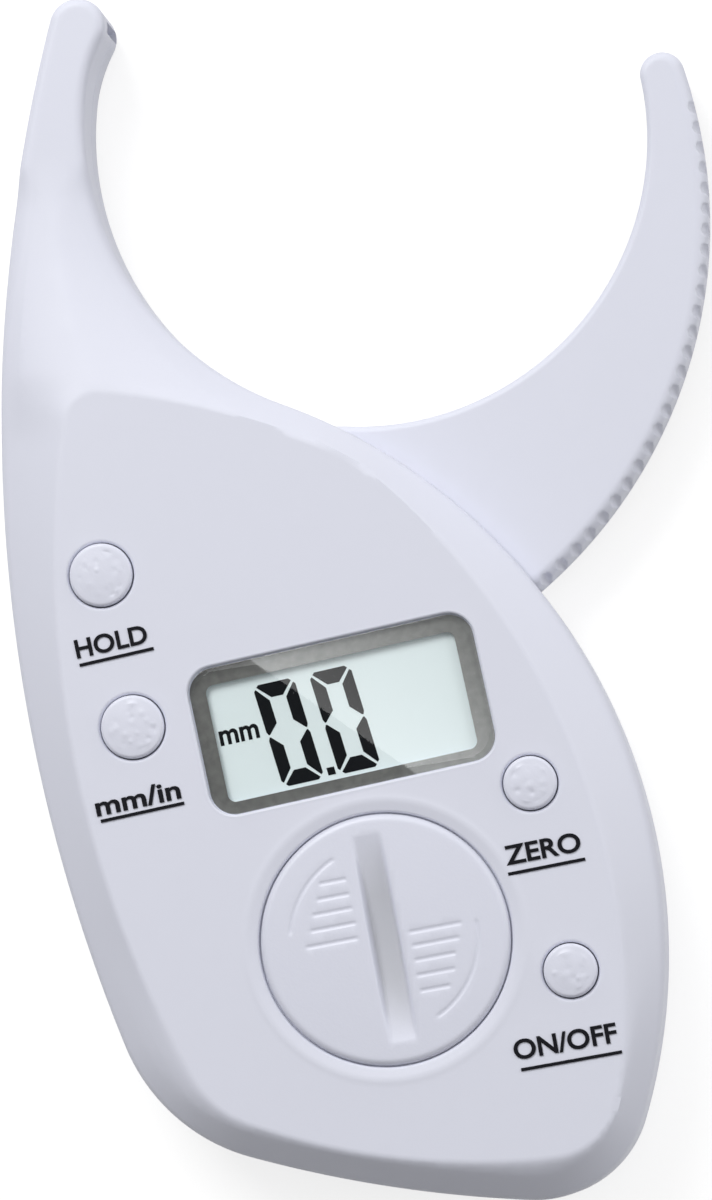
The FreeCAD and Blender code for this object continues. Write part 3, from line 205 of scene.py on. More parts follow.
class CaliperSettings(bpy.types.PropertyGroup):
    """All the sizes and colours of the caliper."""
    shell: PointerProperty(type=ShellSettings, name="Shells", description="Finish and edges of the shells")
    jaw: PointerProperty(type=JawSettings, name="Jaw", description="Notches of the thumb edge")
    control: PointerProperty(type=ControlSettings, name="Controls",
                             description="Battery cap and push buttons")
    display: PointerProperty(type=DisplaySettings, name="Display", description="Window and reading")
    lettering: PointerProperty(type=LetteringSettings, name="Lettering", description="Printed words")
    inside: PointerProperty(type=InsideSettings, name="Inside", description="Colours of the parts inside")
    stage: PointerProperty(type=StageSettings, name="Stage", description="Light, floor and camera")


def mm(length):
    """A length property in millimetres."""
    return length / MM


# ---------------------------------------------------------------------------------------------------------
# Outlines
# ---------------------------------------------------------------------------------------------------------
def fixed_arc(x, y, radius, turn=CONVEX):
    """An arc given by its centre and radius."""
    return {"centre": np.array([x, y]), "radius": radius, "turn": turn}


def bridge_arc(radius, turn=CONVEX, side=LEFT):
    """An arc that joins its two neighbours tangentially."""
    return {"centre": None, "radius": radius, "turn": turn, "side": side}


def wrapped(angle):
    """The same angle between minus half a turn and half a turn."""
    return (angle + math.pi) % (2 * math.pi) - math.pi


class Outline:
    """A closed chain of tangent arcs, run anticlockwise. A point is centre + signed radius times the unit
    vector at the outward normal's angle, and the radius is negative where the chain is concave."""

    def __init__(self, arcs, inset=0.0):
        count = len(arcs)
        signed = [arc["turn"] * arc["radius"] for arc in arcs]
        centres = [arc["centre"] for arc in arcs]
        for k, arc in enumerate(arcs):
            if centres[k] is None:
                before, after = centres[k - 1], arcs[(k + 1) % count]["centre"]
                near, far = abs(signed[k - 1] - signed[k]), abs(signed[k] - signed[(k + 1) % count])
                line = after - before
                length = np.hypot(*line)
                along = (near ** 2 - far ** 2 + length ** 2) / (2 * length)
                across = math.sqrt(max(near ** 2 - along ** 2, 0.0))
                line = line / length
                centres[k] = before + line * along + np.array([-line[1], line[0]]) * across * arc["side"]
        self.centres = np.array(centres)
        bare = np.array(signed)
        following = np.roll(np.arange(count), -1)
        normals = -(self.centres - self.centres[following]) / (bare - bare[following])[:, None]
        self.radii = bare - inset
        last = np.arctan2(normals[:, 1], normals[:, 0])
        self.first = np.roll(last, 1)
        turn = 2 * math.pi
        self.spans = np.where(bare > 0, (last - self.first) % turn, -((self.first - last) % turn))
        self.lengths = np.abs(self.spans * self.radii)
        self.starts = np.concatenate([[0.0], np.cumsum(self.lengths)])

    def at(self, travel):
        """Points and outward normals at distances along the chain."""
        k = np.clip(np.searchsorted(self.starts, travel, side="right") - 1, 0, len(self.lengths) - 1)
        angle = self.first[k] + self.spans[k] * (travel - self.starts[k]) / self.lengths[k]
        normal = np.stack([np.cos(angle), np.sin(angle)], axis=-1)
        return self.centres[k] + self.radii[k][:, None] * normal, normal

    def steps(self, step, turn=math.radians(4.0)):
        """Distances along the chain, no further apart than the step or the turn allows."""
        out = []
        for k, length in enumerate(self.lengths):
            pieces = max(2, math.ceil(length / step), math.ceil(abs(self.spans[k]) / turn))
            out.append(self.starts[k] + length * np.arange(pieces) / pieces)
        return np.concatenate(out)

    def nearest(self, points):
        """The chain's nearest points and the outward normals there."""
        away = points[:, None, :] - self.centres[None, :, :]
        away = away * np.sign(self.radii)[None, :, None]
        middle = self.first + self.spans / 2
        turn = wrapped(np.arctan2(away[..., 1], away[..., 0]) - middle)
        half = np.abs(self.spans) / 2
        angle = middle + np.clip(turn, -half, half)
        normal = np.stack([np.cos(angle), np.sin(angle)], axis=-1)
        foot = self.centres + self.radii[:, None] * normal
        best = np.argmin(np.linalg.norm(points[:, None, :] - foot, axis=-1), axis=1)
        row = np.arange(len(points))
        return foot[row, best], normal[row, best]

    def outside(self, points):
        """Signed distance of points from the chain, positive outside it."""
        foot, normal = self.nearest(points)
        return np.sum((points - foot) * normal, axis=1)


# The housing: fixed tip, side, heel, base, toe, right side, throat and brow.
TIP, TIP_RADIUS = (-34.4, 70.0), 3.7
HEEL, HEEL_RADIUS, SIDE_RADIUS = (-4.9, -54.1), 24.6, 214.0
TOE, TOE_RADIUS, BASE_RADIUS, RIGHT_RADIUS = (25.5, -69.0), 14.3, 164.0, 76.0
THROAT, THROAT_RADIUS = (6.8, 57.3), 40.2
HOUSING_ARCS = [
    fixed_arc(*TIP, TIP_RADIUS), bridge_arc(SIDE_RADIUS), fixed_arc(*HEEL, HEEL_RADIUS),
    bridge_arc(BASE_RADIUS), fixed_arc(*TOE, TOE_RADIUS), bridge_arc(RIGHT_RADIUS),
    fixed_arc(*THROAT, THROAT_RADIUS, CONCAVE), bridge_arc(21.0, CONCAVE)]
# The raised face's foot keeps this far inside the housing, except towards the fixed jaw.
FOOT_INSET = 2.5
FOOT_ARCS = [
    fixed_arc(-37.1, 43.0, 3.4), bridge_arc(SIDE_RADIUS - FOOT_INSET),
    fixed_arc(*HEEL, HEEL_RADIUS - FOOT_INSET), bridge_arc(BASE_RADIUS - FOOT_INSET),
    fixed_arc(*TOE, TOE_RADIUS - FOOT_INSET), bridge_arc(RIGHT_RADIUS - FOOT_INSET),
    fixed_arc(-16.7, -22.4, 40.0), bridge_arc(46.0, CONCAVE, RIGHT)]
# The hollow under the raised face leaves out the foot's corner at the fixed jaw.
HOLLOW_ARCS = [fixed_arc(-34.6, 19.0, 6.0)] + FOOT_ARCS[1:7] + [bridge_arc(150.0)]
CREST_ARCS = [
    fixed_arc(-30.7, 16.6, 4.3), bridge_arc(134.0), fixed_arc(-6.8, -61.4, 12.8), bridge_arc(90.0),
    fixed_arc(27.4, -68.5, 9.3), bridge_arc(90.0), fixed_arc(-9.8, -7.3, 22.6), bridge_arc(95.0)]
# The jaw: its tip when closed stands this gap from the fixed tip, and the jaw rests fully open.
JAW_TIP_RADIUS, TIP_GAP, CONTACT_ANGLE = 2.9, 0.15, math.radians(4.0)
CONTACT = np.array([math.cos(CONTACT_ANGLE), math.sin(CONTACT_ANGLE)])
CLOSED_TIP = np.array(TIP) + (TIP_RADIUS + JAW_TIP_RADIUS + TIP_GAP) * CONTACT
HUB_RADIUS, GAP_EDGE_RADIUS, THUMB_EDGE_RADIUS = 17.0, 37.4, 63.5


def turned(points, degrees, centre=(0.0, 0.0)):
    """Points turned anticlockwise about a centre."""
    c, s = math.cos(math.radians(degrees)), math.sin(math.radians(degrees))
    middle = np.asarray(centre, float)
    return (np.asarray(points, float) - middle) @ np.array([[c, s], [-s, c]]) + middle


JAW_ARCS = [
    fixed_arc(*turned(CLOSED_TIP, -JAW_SWING), JAW_TIP_RADIUS), bridge_arc(GAP_EDGE_RADIUS, CONCAVE, RIGHT),
    fixed_arc(0.0, 0.0, HUB_RADIUS), bridge_arc(THUMB_EDGE_RADIUS)]
HOUSING, FOOT, CREST, JAW = [Outline(arcs) for arcs in (HOUSING_ARCS, FOOT_ARCS, CREST_ARCS, JAW_ARCS)]


# ---------------------------------------------------------------------------------------------------------
# Surfaces
# ---------------------------------------------------------------------------------------------------------
def smooth(low, high, value):
    """0 below low, 1 above high and a smooth S between; low may be the higher of the two."""
    t = np.clip((value - low) / (high - low), 0.0, 1.0)
    return t * t * (3 - 2 * t)


def softer_max(a, b, blend):
    """The larger of two values, blended where they are within the blend of each other."""
    near = np.maximum(blend - np.abs(a - b), 0.0) / blend
    return np.maximum(a, b) + near * near * blend / 4


def lifted(points, height):
    """Plan points given a height, one for all or one each."""
    return np.column_stack([points, np.broadcast_to(height, len(points))])


def unit(vectors):
    """Vectors at length one."""
    return vectors / np.maximum(np.linalg.norm(vectors, axis=-1, keepdims=True), 1e-9)


# Share of a side that the arc at its end may take up, where the side ends the surface and where it doesn't.
END_SHARE, INNER_SHARE = 0.95, 0.48


def rounded_rings(rings, radii, rows=6, between=0):
    """Rows of a surface that runs from ring to ring. Each inner ring is a corner, turned on a circular arc
    that touches both sides: a rational quadratic curve whose middle weight is the cosine of half the turn.
    An arc's reach stays under half of each side, and rows between corners follow the straight side."""
    rows_out = [rings[0]]
    for k in range(1, len(rings) - 1):
        before, corner, after = rings[k - 1], rings[k], rings[k + 1]
        radius = np.broadcast_to(radii[k - 1], len(corner))
        to_before, to_after = unit(before - corner), unit(after - corner)
        half = np.arccos(np.clip(np.sum(to_before * to_after, axis=1), -1, 1)) / 2
        first_share = END_SHARE if k == 1 else INNER_SHARE
        last_share = END_SHARE if k == len(rings) - 2 else INNER_SHARE
        limit = np.minimum(first_share * np.linalg.norm(before - corner, axis=1),
                           last_share * np.linalg.norm(after - corner, axis=1))
        reach = np.minimum(radius / np.maximum(np.tan(half), 1e-3), limit)[:, None]
        if not np.any(reach > 1e-6):
            rows_out.append(corner)
            continue
        weight = np.sin(half)[:, None]
        start, end = corner + to_before * reach, corner + to_after * reach
        last = rows_out[-1]
        for share in np.linspace(0, 1, between + 2)[1:-1]:
            rows_out.append(last + (start - last) * share)
        for t in np.linspace(0, 1, rows):
            blend = (1 - t) ** 2 + 2 * weight * t * (1 - t) + t ** 2
            point = (1 - t) ** 2 * start + 2 * weight * t * (1 - t) * corner + t ** 2 * end
            rows_out.append(point / blend)
    last = rows_out[-1]
    for share in np.linspace(0, 1, between + 2)[1:-1]:
        rows_out.append(last + (rings[-1] - last) * share)
    rows_out.append(rings[-1])
    return np.array(rows_out)


class Shell:
    """Vertices and faces gathered for one piece, in millimetres."""

    def __init__(self):
        self.points, self.faces, self.count = [], [], 0

    def add(self, points, faces):
        """Add points and the faces on them."""
        self.points.append(np.asarray(points, float))
        self.faces.extend([[v + self.count for v in face] for face in faces])
        self.count += len(points)

    def strip(self, rows, closed=True):
        """A grid of rows of points, each row closed on itself. A row that runs anticlockwise and a next row
        above it make faces that look outwards."""
        height, width = rows.shape[:2]
        wide = width if closed else width - 1
        i, j = np.meshgrid(np.arange(height - 1), np.arange(wide), indexing="ij")
        k = (j + 1) % width
        quads = np.stack([i * width + j, i * width + k, (i + 1) * width + k, (i + 1) * width + j], axis=-1)
        self.add(rows.reshape(-1, 3), quads.reshape(-1, 4).tolist())

    def fill(self, loops, up=True, inside=(), height=None):
        """A face between an outer loop and the loops of its holes, as Delaunay triangles on the loops' points
        and any points inside. It is level, or has its height over the plan from a function."""
        edges, start = [], 0
        for loop in loops:
            edges += [(start + k, start + (k + 1) % len(loop)) for k in range(len(loop))]
            start += len(loop)
        plan = np.concatenate([loop[:, :2] for loop in loops] + ([inside] if len(inside) else []))
        result = delaunay_2d_cdt([Vector(p) for p in plan], edges, [], 1, 1e-6)
        points = np.array([tuple(p) for p in result[0]])
        triangles = np.array([list(face) for face in result[2]])
        middles = points[triangles].mean(axis=1)
        keep = within(middles, loops[0])
        for loop in loops[1:]:
            keep &= ~within(middles, loop)
        a, b, c = [points[triangles[:, k]] for k in range(3)]
        area = (b - a)[:, 0] * (c - a)[:, 1] - (b - a)[:, 1] * (c - a)[:, 0]
        wrong = (area > 0) != up
        triangles[wrong] = triangles[wrong][:, ::-1]
        level = loops[0][0, 2] if height is None else height(points)
        self.add(lifted(points, level), triangles[keep & (np.abs(area) > 1e-9)].tolist())

    def cap(self, loop, up=True):
        """A level face on one loop."""
        self.fill([loop], up)

    def lathe(self, centre, profile, radii, columns=48, rows=5, closed=False):
        """A profile of radius and height turned about an upright axis, with its corners rounded by the
        radii. A closed profile joins its end to its start."""
        rings = [circle(centre, radius, height, columns) for radius, height in profile]
        if closed:
            around = rounded_rings([rings[-1]] + rings + [rings[0]], radii, rows)[1:-1]
            self.strip(np.concatenate([around, around[:1]]))
        else:
            self.strip(rounded_rings(rings, radii, rows))

    def post(self, centre, profile, radii, columns=48):
        """A turned post whose profile starts at its root, which is closed inside the wall that it stands on.
        The profile of a post that hangs is run backwards, so that its faces look outwards."""
        (radius, root), (_, tip) = profile[:2]
        hangs = tip < root
        self.lathe(centre, profile[::-1] if hangs else profile, radii[::-1] if hangs else radii, columns)
        self.cap(circle(centre, radius, root, columns), up=hangs)

    def bar(self, corners, low, high):
        """An upright prism on a polygon that runs anticlockwise."""
        plan = np.asarray(corners, float)
        rows = np.array([lifted(plan, low), lifted(plan, high)])
        self.strip(rows)
        self.cap(rows[0], up=False)
        self.cap(rows[1])

    def piece(self, name, material, body, slot, replaces=(), sharp=38.0, weld=0.002):
        """Make the gathered faces one object, weld points closer than the weld and hang it on its body."""
        mesh = bpy.data.meshes.new(name)
        points = np.concatenate(self.points) * MM
        mesh.from_pydata(points.tolist(), [], self.faces)
        work = bmesh.new()
        work.from_mesh(mesh)
        bmesh.ops.remove_doubles(work, verts=work.verts, dist=weld * MM)
        bmesh.ops.dissolve_degenerate(work, edges=work.edges, dist=1e-8)
        work.to_mesh(mesh)
        work.free()
        return dress(mesh, name, material, body, replaces, sharp)


def dress(mesh, name, material, body, replaces, sharp):
    """Put a finished mesh in the scene with its shading, material and body."""
    mesh.validate()
    mesh.polygons.foreach_set("use_smooth", np.ones(len(mesh.polygons), bool))
    mesh.set_sharp_from_angle(angle=math.radians(sharp))
    piece = bpy.data.objects.new(name, mesh)
    bpy.context.scene.collection.objects.link(piece)
    mesh.materials.append(material)
    weighted = piece.modifiers.new("even_normals", "WEIGHTED_NORMAL")
    weighted.keep_sharp = True
    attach(piece, body)
    if replaces:
        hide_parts(*replaces)
    return piece


def within(points, loop):
    """Whether points lie inside a loop: an odd number of its edges cross a ray to the right."""
    x, y = points[:, 0][:, None], points[:, 1][:, None]
    x1, y1 = loop[:, 0][None, :], loop[:, 1][None, :]
    x2, y2 = np.roll(loop[:, 0], -1)[None, :], np.roll(loop[:, 1], -1)[None, :]
    crosses = (y1 > y) != (y2 > y)
    at = x1 + (y - y1) * (x2 - x1) / np.where(y2 == y1, 1e-12, y2 - y1)
    return np.sum(crosses & (x < at), axis=1) % 2 == 1


def circle(centre, radius, height, columns=48):
    """A level ring of points, run anticlockwise."""
    angle = 2 * math.pi * np.arange(columns) / columns
    return np.column_stack([centre[0] + radius * np.cos(angle), centre[1] + radius * np.sin(angle),
                            np.full(columns, float(height))])


def rounded_rectangle(width, height, radius, level, centre, tilt, columns=10):
    """A level ring round a rectangle with round corners, run anticlockwise."""
    out = []
    for quarter, (sx, sy) in enumerate([(1, -1), (1, 1), (-1, 1), (-1, -1)]):
        angle = math.radians(90.0) * (quarter - 1 + np.linspace(0, 1, columns))
        out.append(np.column_stack([sx * (width / 2 - radius) + radius * np.cos(angle),
                                    sy * (height / 2 - radius) + radius * np.sin(angle)]))
    plan = turned(np.concatenate(out), tilt) + np.asarray(centre)
    return lifted(plan, level)


def window_ring(width, height, corner, level, shift=(0.0, 0.0)):
    """A level ring in the tilted frame of the display window."""
    centre = turned(np.array([shift]), WINDOW_TILT)[0] + WINDOW_CENTRE
    return rounded_rectangle(width, height, corner, level, centre, WINDOW_TILT)


# ---------------------------------------------------------------------------------------------------------
# Shader maths
# ---------------------------------------------------------------------------------------------------------
class Term:
    """A socket that takes part in arithmetic: each operator adds a Math node."""

    def __init__(self, nodes, socket):
        self.nodes, self.socket = nodes, socket

    def _math(self, operation, first, second):
        return self.nodes.node("ShaderNodeMath", {"operation": operation}, {0: first, 1: second})

    def __add__(self, other):
        return self._math("ADD", self, other)

    def __sub__(self, other):
        return self._math("SUBTRACT", self, other)

    def __rsub__(self, other):
        return self._math("SUBTRACT", other, self)

    def __mul__(self, other):
        return self._math("MULTIPLY", self, other)

    def __truediv__(self, other):
        return self._math("DIVIDE", self, other)

    def __rtruediv__(self, other):
        return self._math("DIVIDE", other, self)

    def __pow__(self, other):
        return self._math("POWER", self, other)

    def __rpow__(self, other):
        return self._math("POWER", other, self)

    def above(self, level):
        """1 where this is over the level and 0 elsewhere."""
        return self._math("GREATER_THAN", self, level)

    def larger(self, other):
        """The larger of this and another value."""
        return self._math("MAXIMUM", self, other)

    def output(self, key):
        """Another output of the same node."""
        return Term(self.nodes, self.socket.node.outputs[key])

    __radd__, __rmul__ = __add__, __mul__


class Nodes:
    """A node tree that is filled one call at a time."""

    def __init__(self, tree):
        self.tree = tree

    def connect(self, value, socket):
        """Link a term to a socket, or set the socket to a plain value."""
        if isinstance(value, Term):
            self.tree.links.new(value.socket, socket)
        else:
            socket.default_value = value

    def node(self, kind, settings, sockets, output=0):
        """Add a node: first its settings, a ramp's stops among them, then the values or links of its
        sockets."""
        node = self.tree.nodes.new(kind)
        for key, value in settings.items():
            if key == "stops":
                elements = node.color_ramp.elements
                while len(elements) < len(value):
                    elements.new(0.5)
                for element, (place, colour) in zip(elements, value):
                    element.position = place
                    element.color = (*colour, 1.0)
            else:
                setattr(node, key, value)
        for key, value in sockets.items():
            self.connect(value, node.inputs[key])
        return Term(self, node.outputs[output])

    def ramp(self, value, *stops):
        """A colour ramp through (place, colour) stops."""
        return self.node("ShaderNodeValToRGB", {"stops": stops}, {0: value})

    def mix(self, factor, first, second, blend="MIX"):
        """A blend of two colours."""
        colours = [value if isinstance(value, Term) else (*value, 1.0) for value in (first, second)]
        return self.node("ShaderNodeMix", {"data_type": "RGBA", "blend_type": blend},
                         {0: factor, 6: colours[0], 7: colours[1]}, output=2)

    def noise(self, where, scale, detail=2.0):
        """Noise between about 0.3 and 0.7."""
        return self.node("ShaderNodeTexNoise", {}, {"Vector": where, "Scale": scale, "Detail": detail})


class Finish(Nodes):
    """A material on the Principled shader, with its patterns on object coordinates."""

    def __init__(self, name, **fixed):
        self.material = bpy.data.materials.new(name)
        self.material.use_nodes = True
        super().__init__(self.material.node_tree)
        self.shader = self.tree.nodes["Principled BSDF"]
        for key, value in fixed.items():
            self.feed(key.replace("_", " ").title().replace("Ior", "IOR"), value)
        self.where = self.node("ShaderNodeTexCoord", {}, {}, output="Object")

    def feed(self, name, value):
        """Link a term to one of the shader's sockets, or set the socket to a plain value."""
        self.connect(value, self.shader.inputs[name])

    def grain(self, scale, detail=2.0):
        """Noise on the object's own coordinates."""
        return self.noise(self.where, scale, detail)

    def relief(self, *layers):
        """Bump nodes in a chain, each a height, a distance in metres and a strength."""
        sockets = {}
        for height, distance, strength in layers:
            sockets.update({"Height": height, "Distance": distance, "Strength": strength})
            sockets["Normal"] = self.node("ShaderNodeBump", {}, dict(sockets))
        self.feed("Normal", sockets["Normal"])


def tinted(colour, factor):
    """A colour made lighter or darker."""
    return tuple(min(1.0, max(0.0, v * factor)) for v in colour)


# ---------------------------------------------------------------------------------------------------------
# Finishes
# ---------------------------------------------------------------------------------------------------------
def ready(name, make, *values):
    """The finish of this name, made when it is first asked for."""
    return bpy.data.materials.get(name) or make(name, *values)


# Depth under the front face, in metres, at which the painted shade has its full colour.
SHADE_DEPTH = 0.0012


def moulded(name, colour, roughness, grain=0.00028, depth=0.000006, dirt=None):
    """Moulded plastic: a spark-eroded grain, faint flow marks and a gloss that varies a little. Painted
    shade darkens it in proportion to the depth under the front face, where its colour is given."""
    f = Finish(name)
    flow = f.grain(38.0, 3.0)
    cloud = f.grain(420.0)
    tone = (flow - 0.5) * 0.03 + (cloud - 0.5) * 0.018 + 0.5
    skin = f.ramp(tone, (0.46, tinted(colour, 0.975)), (0.54, tinted(colour, 1.02)))
    # Painted shade: the colour turns to the shade colour in proportion to the depth under the front face, so
    # recesses look shaded.
    if dirt is not None:
        height = f.node("ShaderNodeSeparateXYZ", {}, {0: f.where}).output(2)
        skin = f.mix((FRONT * MM - height) / SHADE_DEPTH, skin, dirt)
    f.feed("Base Color", skin)
    f.feed("Roughness", (cloud - 0.5) * 0.16 + roughness)
    f.relief((f.grain(1.0 / grain), depth, 0.7), (flow, 0.00005, 0.12))
    return f.material


def drawn_metal(name, colour, roughness):
    """Metal with fine drawn lines: noise squeezed along one way."""
    f = Finish(name, metallic=1.0)
    stretched = f.node("ShaderNodeMapping", {}, {"Vector": f.where, "Scale": (1.0, 1.0, 30.0)})
    return lined(f, f.noise(stretched, 900.0), colour, roughness)


def turned_metal(name, colour, roughness, centre):
    """Metal with fine rings about an upright axis: noise on the distance from it."""
    f = Finish(name, metallic=1.0)
    moved = f.node("ShaderNodeVectorMath", {"operation": "SUBTRACT"},
                   {0: f.where, 1: (centre[0] * MM, centre[1] * MM, 0.0)})
    x = f.node("ShaderNodeSeparateXYZ", {}, {0: moved})
    y = x.output(1)
    rings = f.node("ShaderNodeTexNoise", {"noise_dimensions": "1D"},
                   {"W": (x * x + y * y) ** 0.5, "Scale": 4000.0, "Detail": 2.0})
    return lined(f, rings, colour, roughness)


def lined(f, lines, colour, roughness):
    """Let lines of noise show in a metal's colour, gloss and relief."""
    f.feed("Base Color", f.ramp(lines, (0.35, tinted(colour, 0.86)), (0.65, tinted(colour, 1.06))))
    f.feed("Roughness", (lines - 0.5) * 0.2 + roughness)
    f.relief((lines, 0.000004, 0.6))
    return f.material


def printed_film(name, colour, roughness, scale, specular, coat=0.0):
    """Printed or laminated film: a colour and a gloss that vary finely, under a clear coat where one is
    given."""
    f = Finish(name, specular_ior_level=specular, coat_weight=coat, coat_roughness=0.015, coat_ior=1.7)
    film = f.grain(scale)
    f.feed("Base Color", f.ramp(film, (0.3, tinted(colour, 0.85)), (0.7, tinted(colour, 1.15))))
    f.feed("Roughness", (film - 0.5) * 0.2 + roughness)
    f.relief((film, 0.000003, 0.5))
    return f.material


def display_reflector(name, colour):
    """The display's pale reflector, with the faint grain of its polariser and a slow wash of light and
    dark."""
    f = Finish(name, specular_ior_level=0.3)
    grain = f.grain(6000.0)
    tone = (grain - 0.5) * 0.35 + f.grain(45.0, 1.0)
    f.feed("Base Color", f.ramp(tone, (0.3, tinted(colour, 0.975)), (0.7, tinted(colour, 1.02))))
    f.feed("Roughness", (grain - 0.5) * 0.1 + 0.45)
    return f.material


def window_glass(name):
    """Clear acrylic: see-through face on, glossy at a slant, and lamps reach what is behind it."""
    f = Finish(name)
    f.tree.nodes.remove(f.shader)
    clear = f.node("ShaderNodeBsdfTransparent", {}, {"Color": (0.98, 0.99, 0.99, 1.0)})
    gloss = f.node("ShaderNodeBsdfGlossy", {}, {"Roughness": 0.01})
    slant = f.node("ShaderNodeFresnel", {}, {"IOR": 1.49})
    leaving = f.node("ShaderNodeNewGeometry", {}, {}, output="Backfacing")
    mixed = f.node("ShaderNodeMixShader", {}, {0: slant * (1.0 - leaving), 1: clear, 2: gloss})
    f.connect(mixed, f.tree.nodes["Material Output"].inputs["Surface"])
    return f.material


def solder_mask(name, colour):
    """Circuit board: mask over faint copper tracks, with the weave of the laminate."""
    f = Finish(name)
    bricks = f.node("ShaderNodeTexBrick", {"offset": 0.5},
                    {"Vector": f.where, "Scale": 190.0, "Mortar Size": 0.09}, output="Fac")
    weave = f.grain(700.0)
    shade = f.ramp(weave, (0.3, (0.86, 0.86, 0.86)), (0.7, (1.0, 1.0, 1.0)))
    tracks = f.mix(bricks, colour, tinted(colour, 2.0))
    f.feed("Base Color", f.mix(1.0, tracks, shade, "MULTIPLY"))
    f.feed("Roughness", (weave - 0.5) * 0.15 + 0.32)
    f.relief((bricks, 0.00002, 0.5))
    return f.material


def sensor_film(name, colour):
    """Copper fingers set radially on a dark disc: the sign of a sine of the angle."""
    f = Finish(name)
    x = f.node("ShaderNodeSeparateXYZ", {}, {0: f.where})
    turn = f.node("ShaderNodeMath", {"operation": "ARCTAN2"}, {0: x.output(1), 1: x})
    finger = f.node("ShaderNodeMath", {"operation": "SINE"}, {0: turn * 48.0}).above(0.0)
    tarnish = f.grain(300.0, 3.0)
    copper = f.ramp(tarnish, (0.3, tinted(colour, 0.84)), (0.7, tinted(colour, 1.16)))
    f.feed("Base Color", f.mix(finger, (0.05, 0.09, 0.06), copper))
    f.feed("Metallic", finger)
    f.feed("Roughness", (tarnish - 0.5) * 0.2 + 0.38)
    return f.material


def shell_plastic(caliper):
    """Plastic of the shells and the jaw."""
    return ready("shell_moulding", moulded, caliper.shell.colour, caliper.shell.roughness)


def control_plastic(caliper):
    """Plastic of the battery cap and the push buttons, coarser and glossier than the shells', with painted
    shade in the coin slot and the grooves."""
    control = caliper.control
    return ready("control_moulding", moulded, control.colour, control.roughness, 0.00034, 0.000016,
                 control.dirt)


def drawn_steel(caliper):
    """Steel of the screws, springs and contacts."""
    return ready("drawn_steel", drawn_metal, caliper.inside.steel, 0.32)


# ---------------------------------------------------------------------------------------------------------
# Housing
# ---------------------------------------------------------------------------------------------------------
def in_slot(travel):
    """Whether the wall at these distances stands in the way of the open or the closed jaw."""
    outer, normal = HOUSING.at(travel)
    hit = np.zeros(len(travel), bool)
    for points in (outer, outer - normal * WALL):
        for swing in (0.0, JAW_SWING):
            hit |= JAW.outside(turned(points, -swing)) < JAW_GAP
    return hit


def wall_columns(step=0.5, pitch=0.02):
    """Distances along the housing's outline, with a close pair at each end of the jaw's slot, and where the
    slot is."""
    dense = np.arange(0.0, HOUSING.starts[-1], pitch)
    flags = in_slot(dense)
    ends = dense[:-1][flags[1:] != flags[:-1]]
    travel = np.concatenate([HOUSING.steps(step), ends, ends + pitch])
    travel = np.unique(np.round(travel, 4))
    return travel, in_slot(travel)


def top_lean(plan):
    """1 where the slope runs straight from rim to crest, and 0 along the fixed jaw, where a wide level
    ledge lies between the rim and the raised face's foot."""
    return smooth(6.5, 2.8, FOOT.outside(plan) - HOUSING.outside(plan))


# The slope's rise is fuller at the heel, below these heights on the plan, and eased towards the fixed jaw,
# from the crest's top to the level ledge.
HEEL_BULGE, HEEL_TOP, HEEL_FOOT = 0.55, -48.0, -68.0
ARM_EASE, ARM_FOOT, ARM_MIDDLE, ARM_TOP = 0.4, 14.0, 24.0, 52.0
# Blends of the slope with the ledge and with the level face.
LEDGE_BLEND, FACE_BLEND = 1.2, 0.45


def top_height(plan):
    """Height of the front over the plan: from the rim's height it rises in proportion to the way from the
    rim, or from the foot, to the crest, and is blended into the level face there. At the heel the rise
    bulges by a parabola over that way, and towards the fixed jaw the way is raised to a power under one."""
    y = plan[:, 1]
    depth = -HOUSING.outside(plan)
    ledge = np.maximum(depth + FOOT.outside(plan), 0.0)
    width = np.maximum(depth + CREST.outside(plan), ledge + 0.5)
    lean = top_lean(plan)
    rim = SHOULDER - RIM_DROP * lean
    ease = ARM_EASE * smooth(ARM_FOOT, ARM_MIDDLE, y) * smooth(ARM_TOP, ARM_MIDDLE, y)
    way = np.clip(depth / width, 0.0, 1.0) ** (1.0 - ease)
    bulge = HEEL_BULGE * smooth(HEEL_TOP, HEEL_FOOT, y) * np.clip(way * (1 - way), 0.0, 1.0)
    straight = rim + (FRONT - rim) * (way + bulge)
    footed = softer_max(rim, rim + (FRONT - rim) * (depth - ledge) / (width - ledge), LEDGE_BLEND)
    rise = footed + (straight - footed) * lean
    return -softer_max(-rise, -FRONT, FACE_BLEND)


def top_grid(loop, holes):
    """Points for the front's slope: on lines parallel to the crest near it and on a plain lattice further
    off, kept clear of the loops."""
    reaches = np.concatenate([np.arange(-1.6, 2.8, 0.4), np.arange(3.2, 9.7, 0.8)])
    bands = [Outline(CREST_ARCS, inset=-reach) for reach in reaches]
    near = np.concatenate([band.at(band.steps(0.8))[0] for band in bands])
    x, y = np.meshgrid(np.arange(-50.0, 45.0, 1.3), np.arange(-85.0, 75.0, 1.3))
    far = np.column_stack([x.ravel(), y.ravel()])
    far = far[CREST.outside(far) > 10.2]
    points = np.concatenate([near, far])
    points = points[HOUSING.outside(points) < -TURNOVER - 0.4]
    points = points[within(points, loop)]
    for hole in holes:
        gap = np.min(np.linalg.norm(points[:, None] - hole[None, :, :2], axis=-1), axis=1)
        points = points[~within(points, hole) & (gap > 0.3)]
    return points


def over_top(ring):
    """The ring, set down on the front's height over the plan."""
    ring[:, 2] = top_height(ring[:, :2])
    return ring


# Width, height and corner radius of the window's opening: its rounded edge at the face, the seat that holds
# the pane and the ledge under the pane.
LEAD_SIZE, SEAT_SIZE, LEDGE_SIZE, SEAT_LEVEL = (38.8, 20.5, 3.9), (37.8, 19.5, 3.4), (34.6, 16.3, 1.8), 16.8
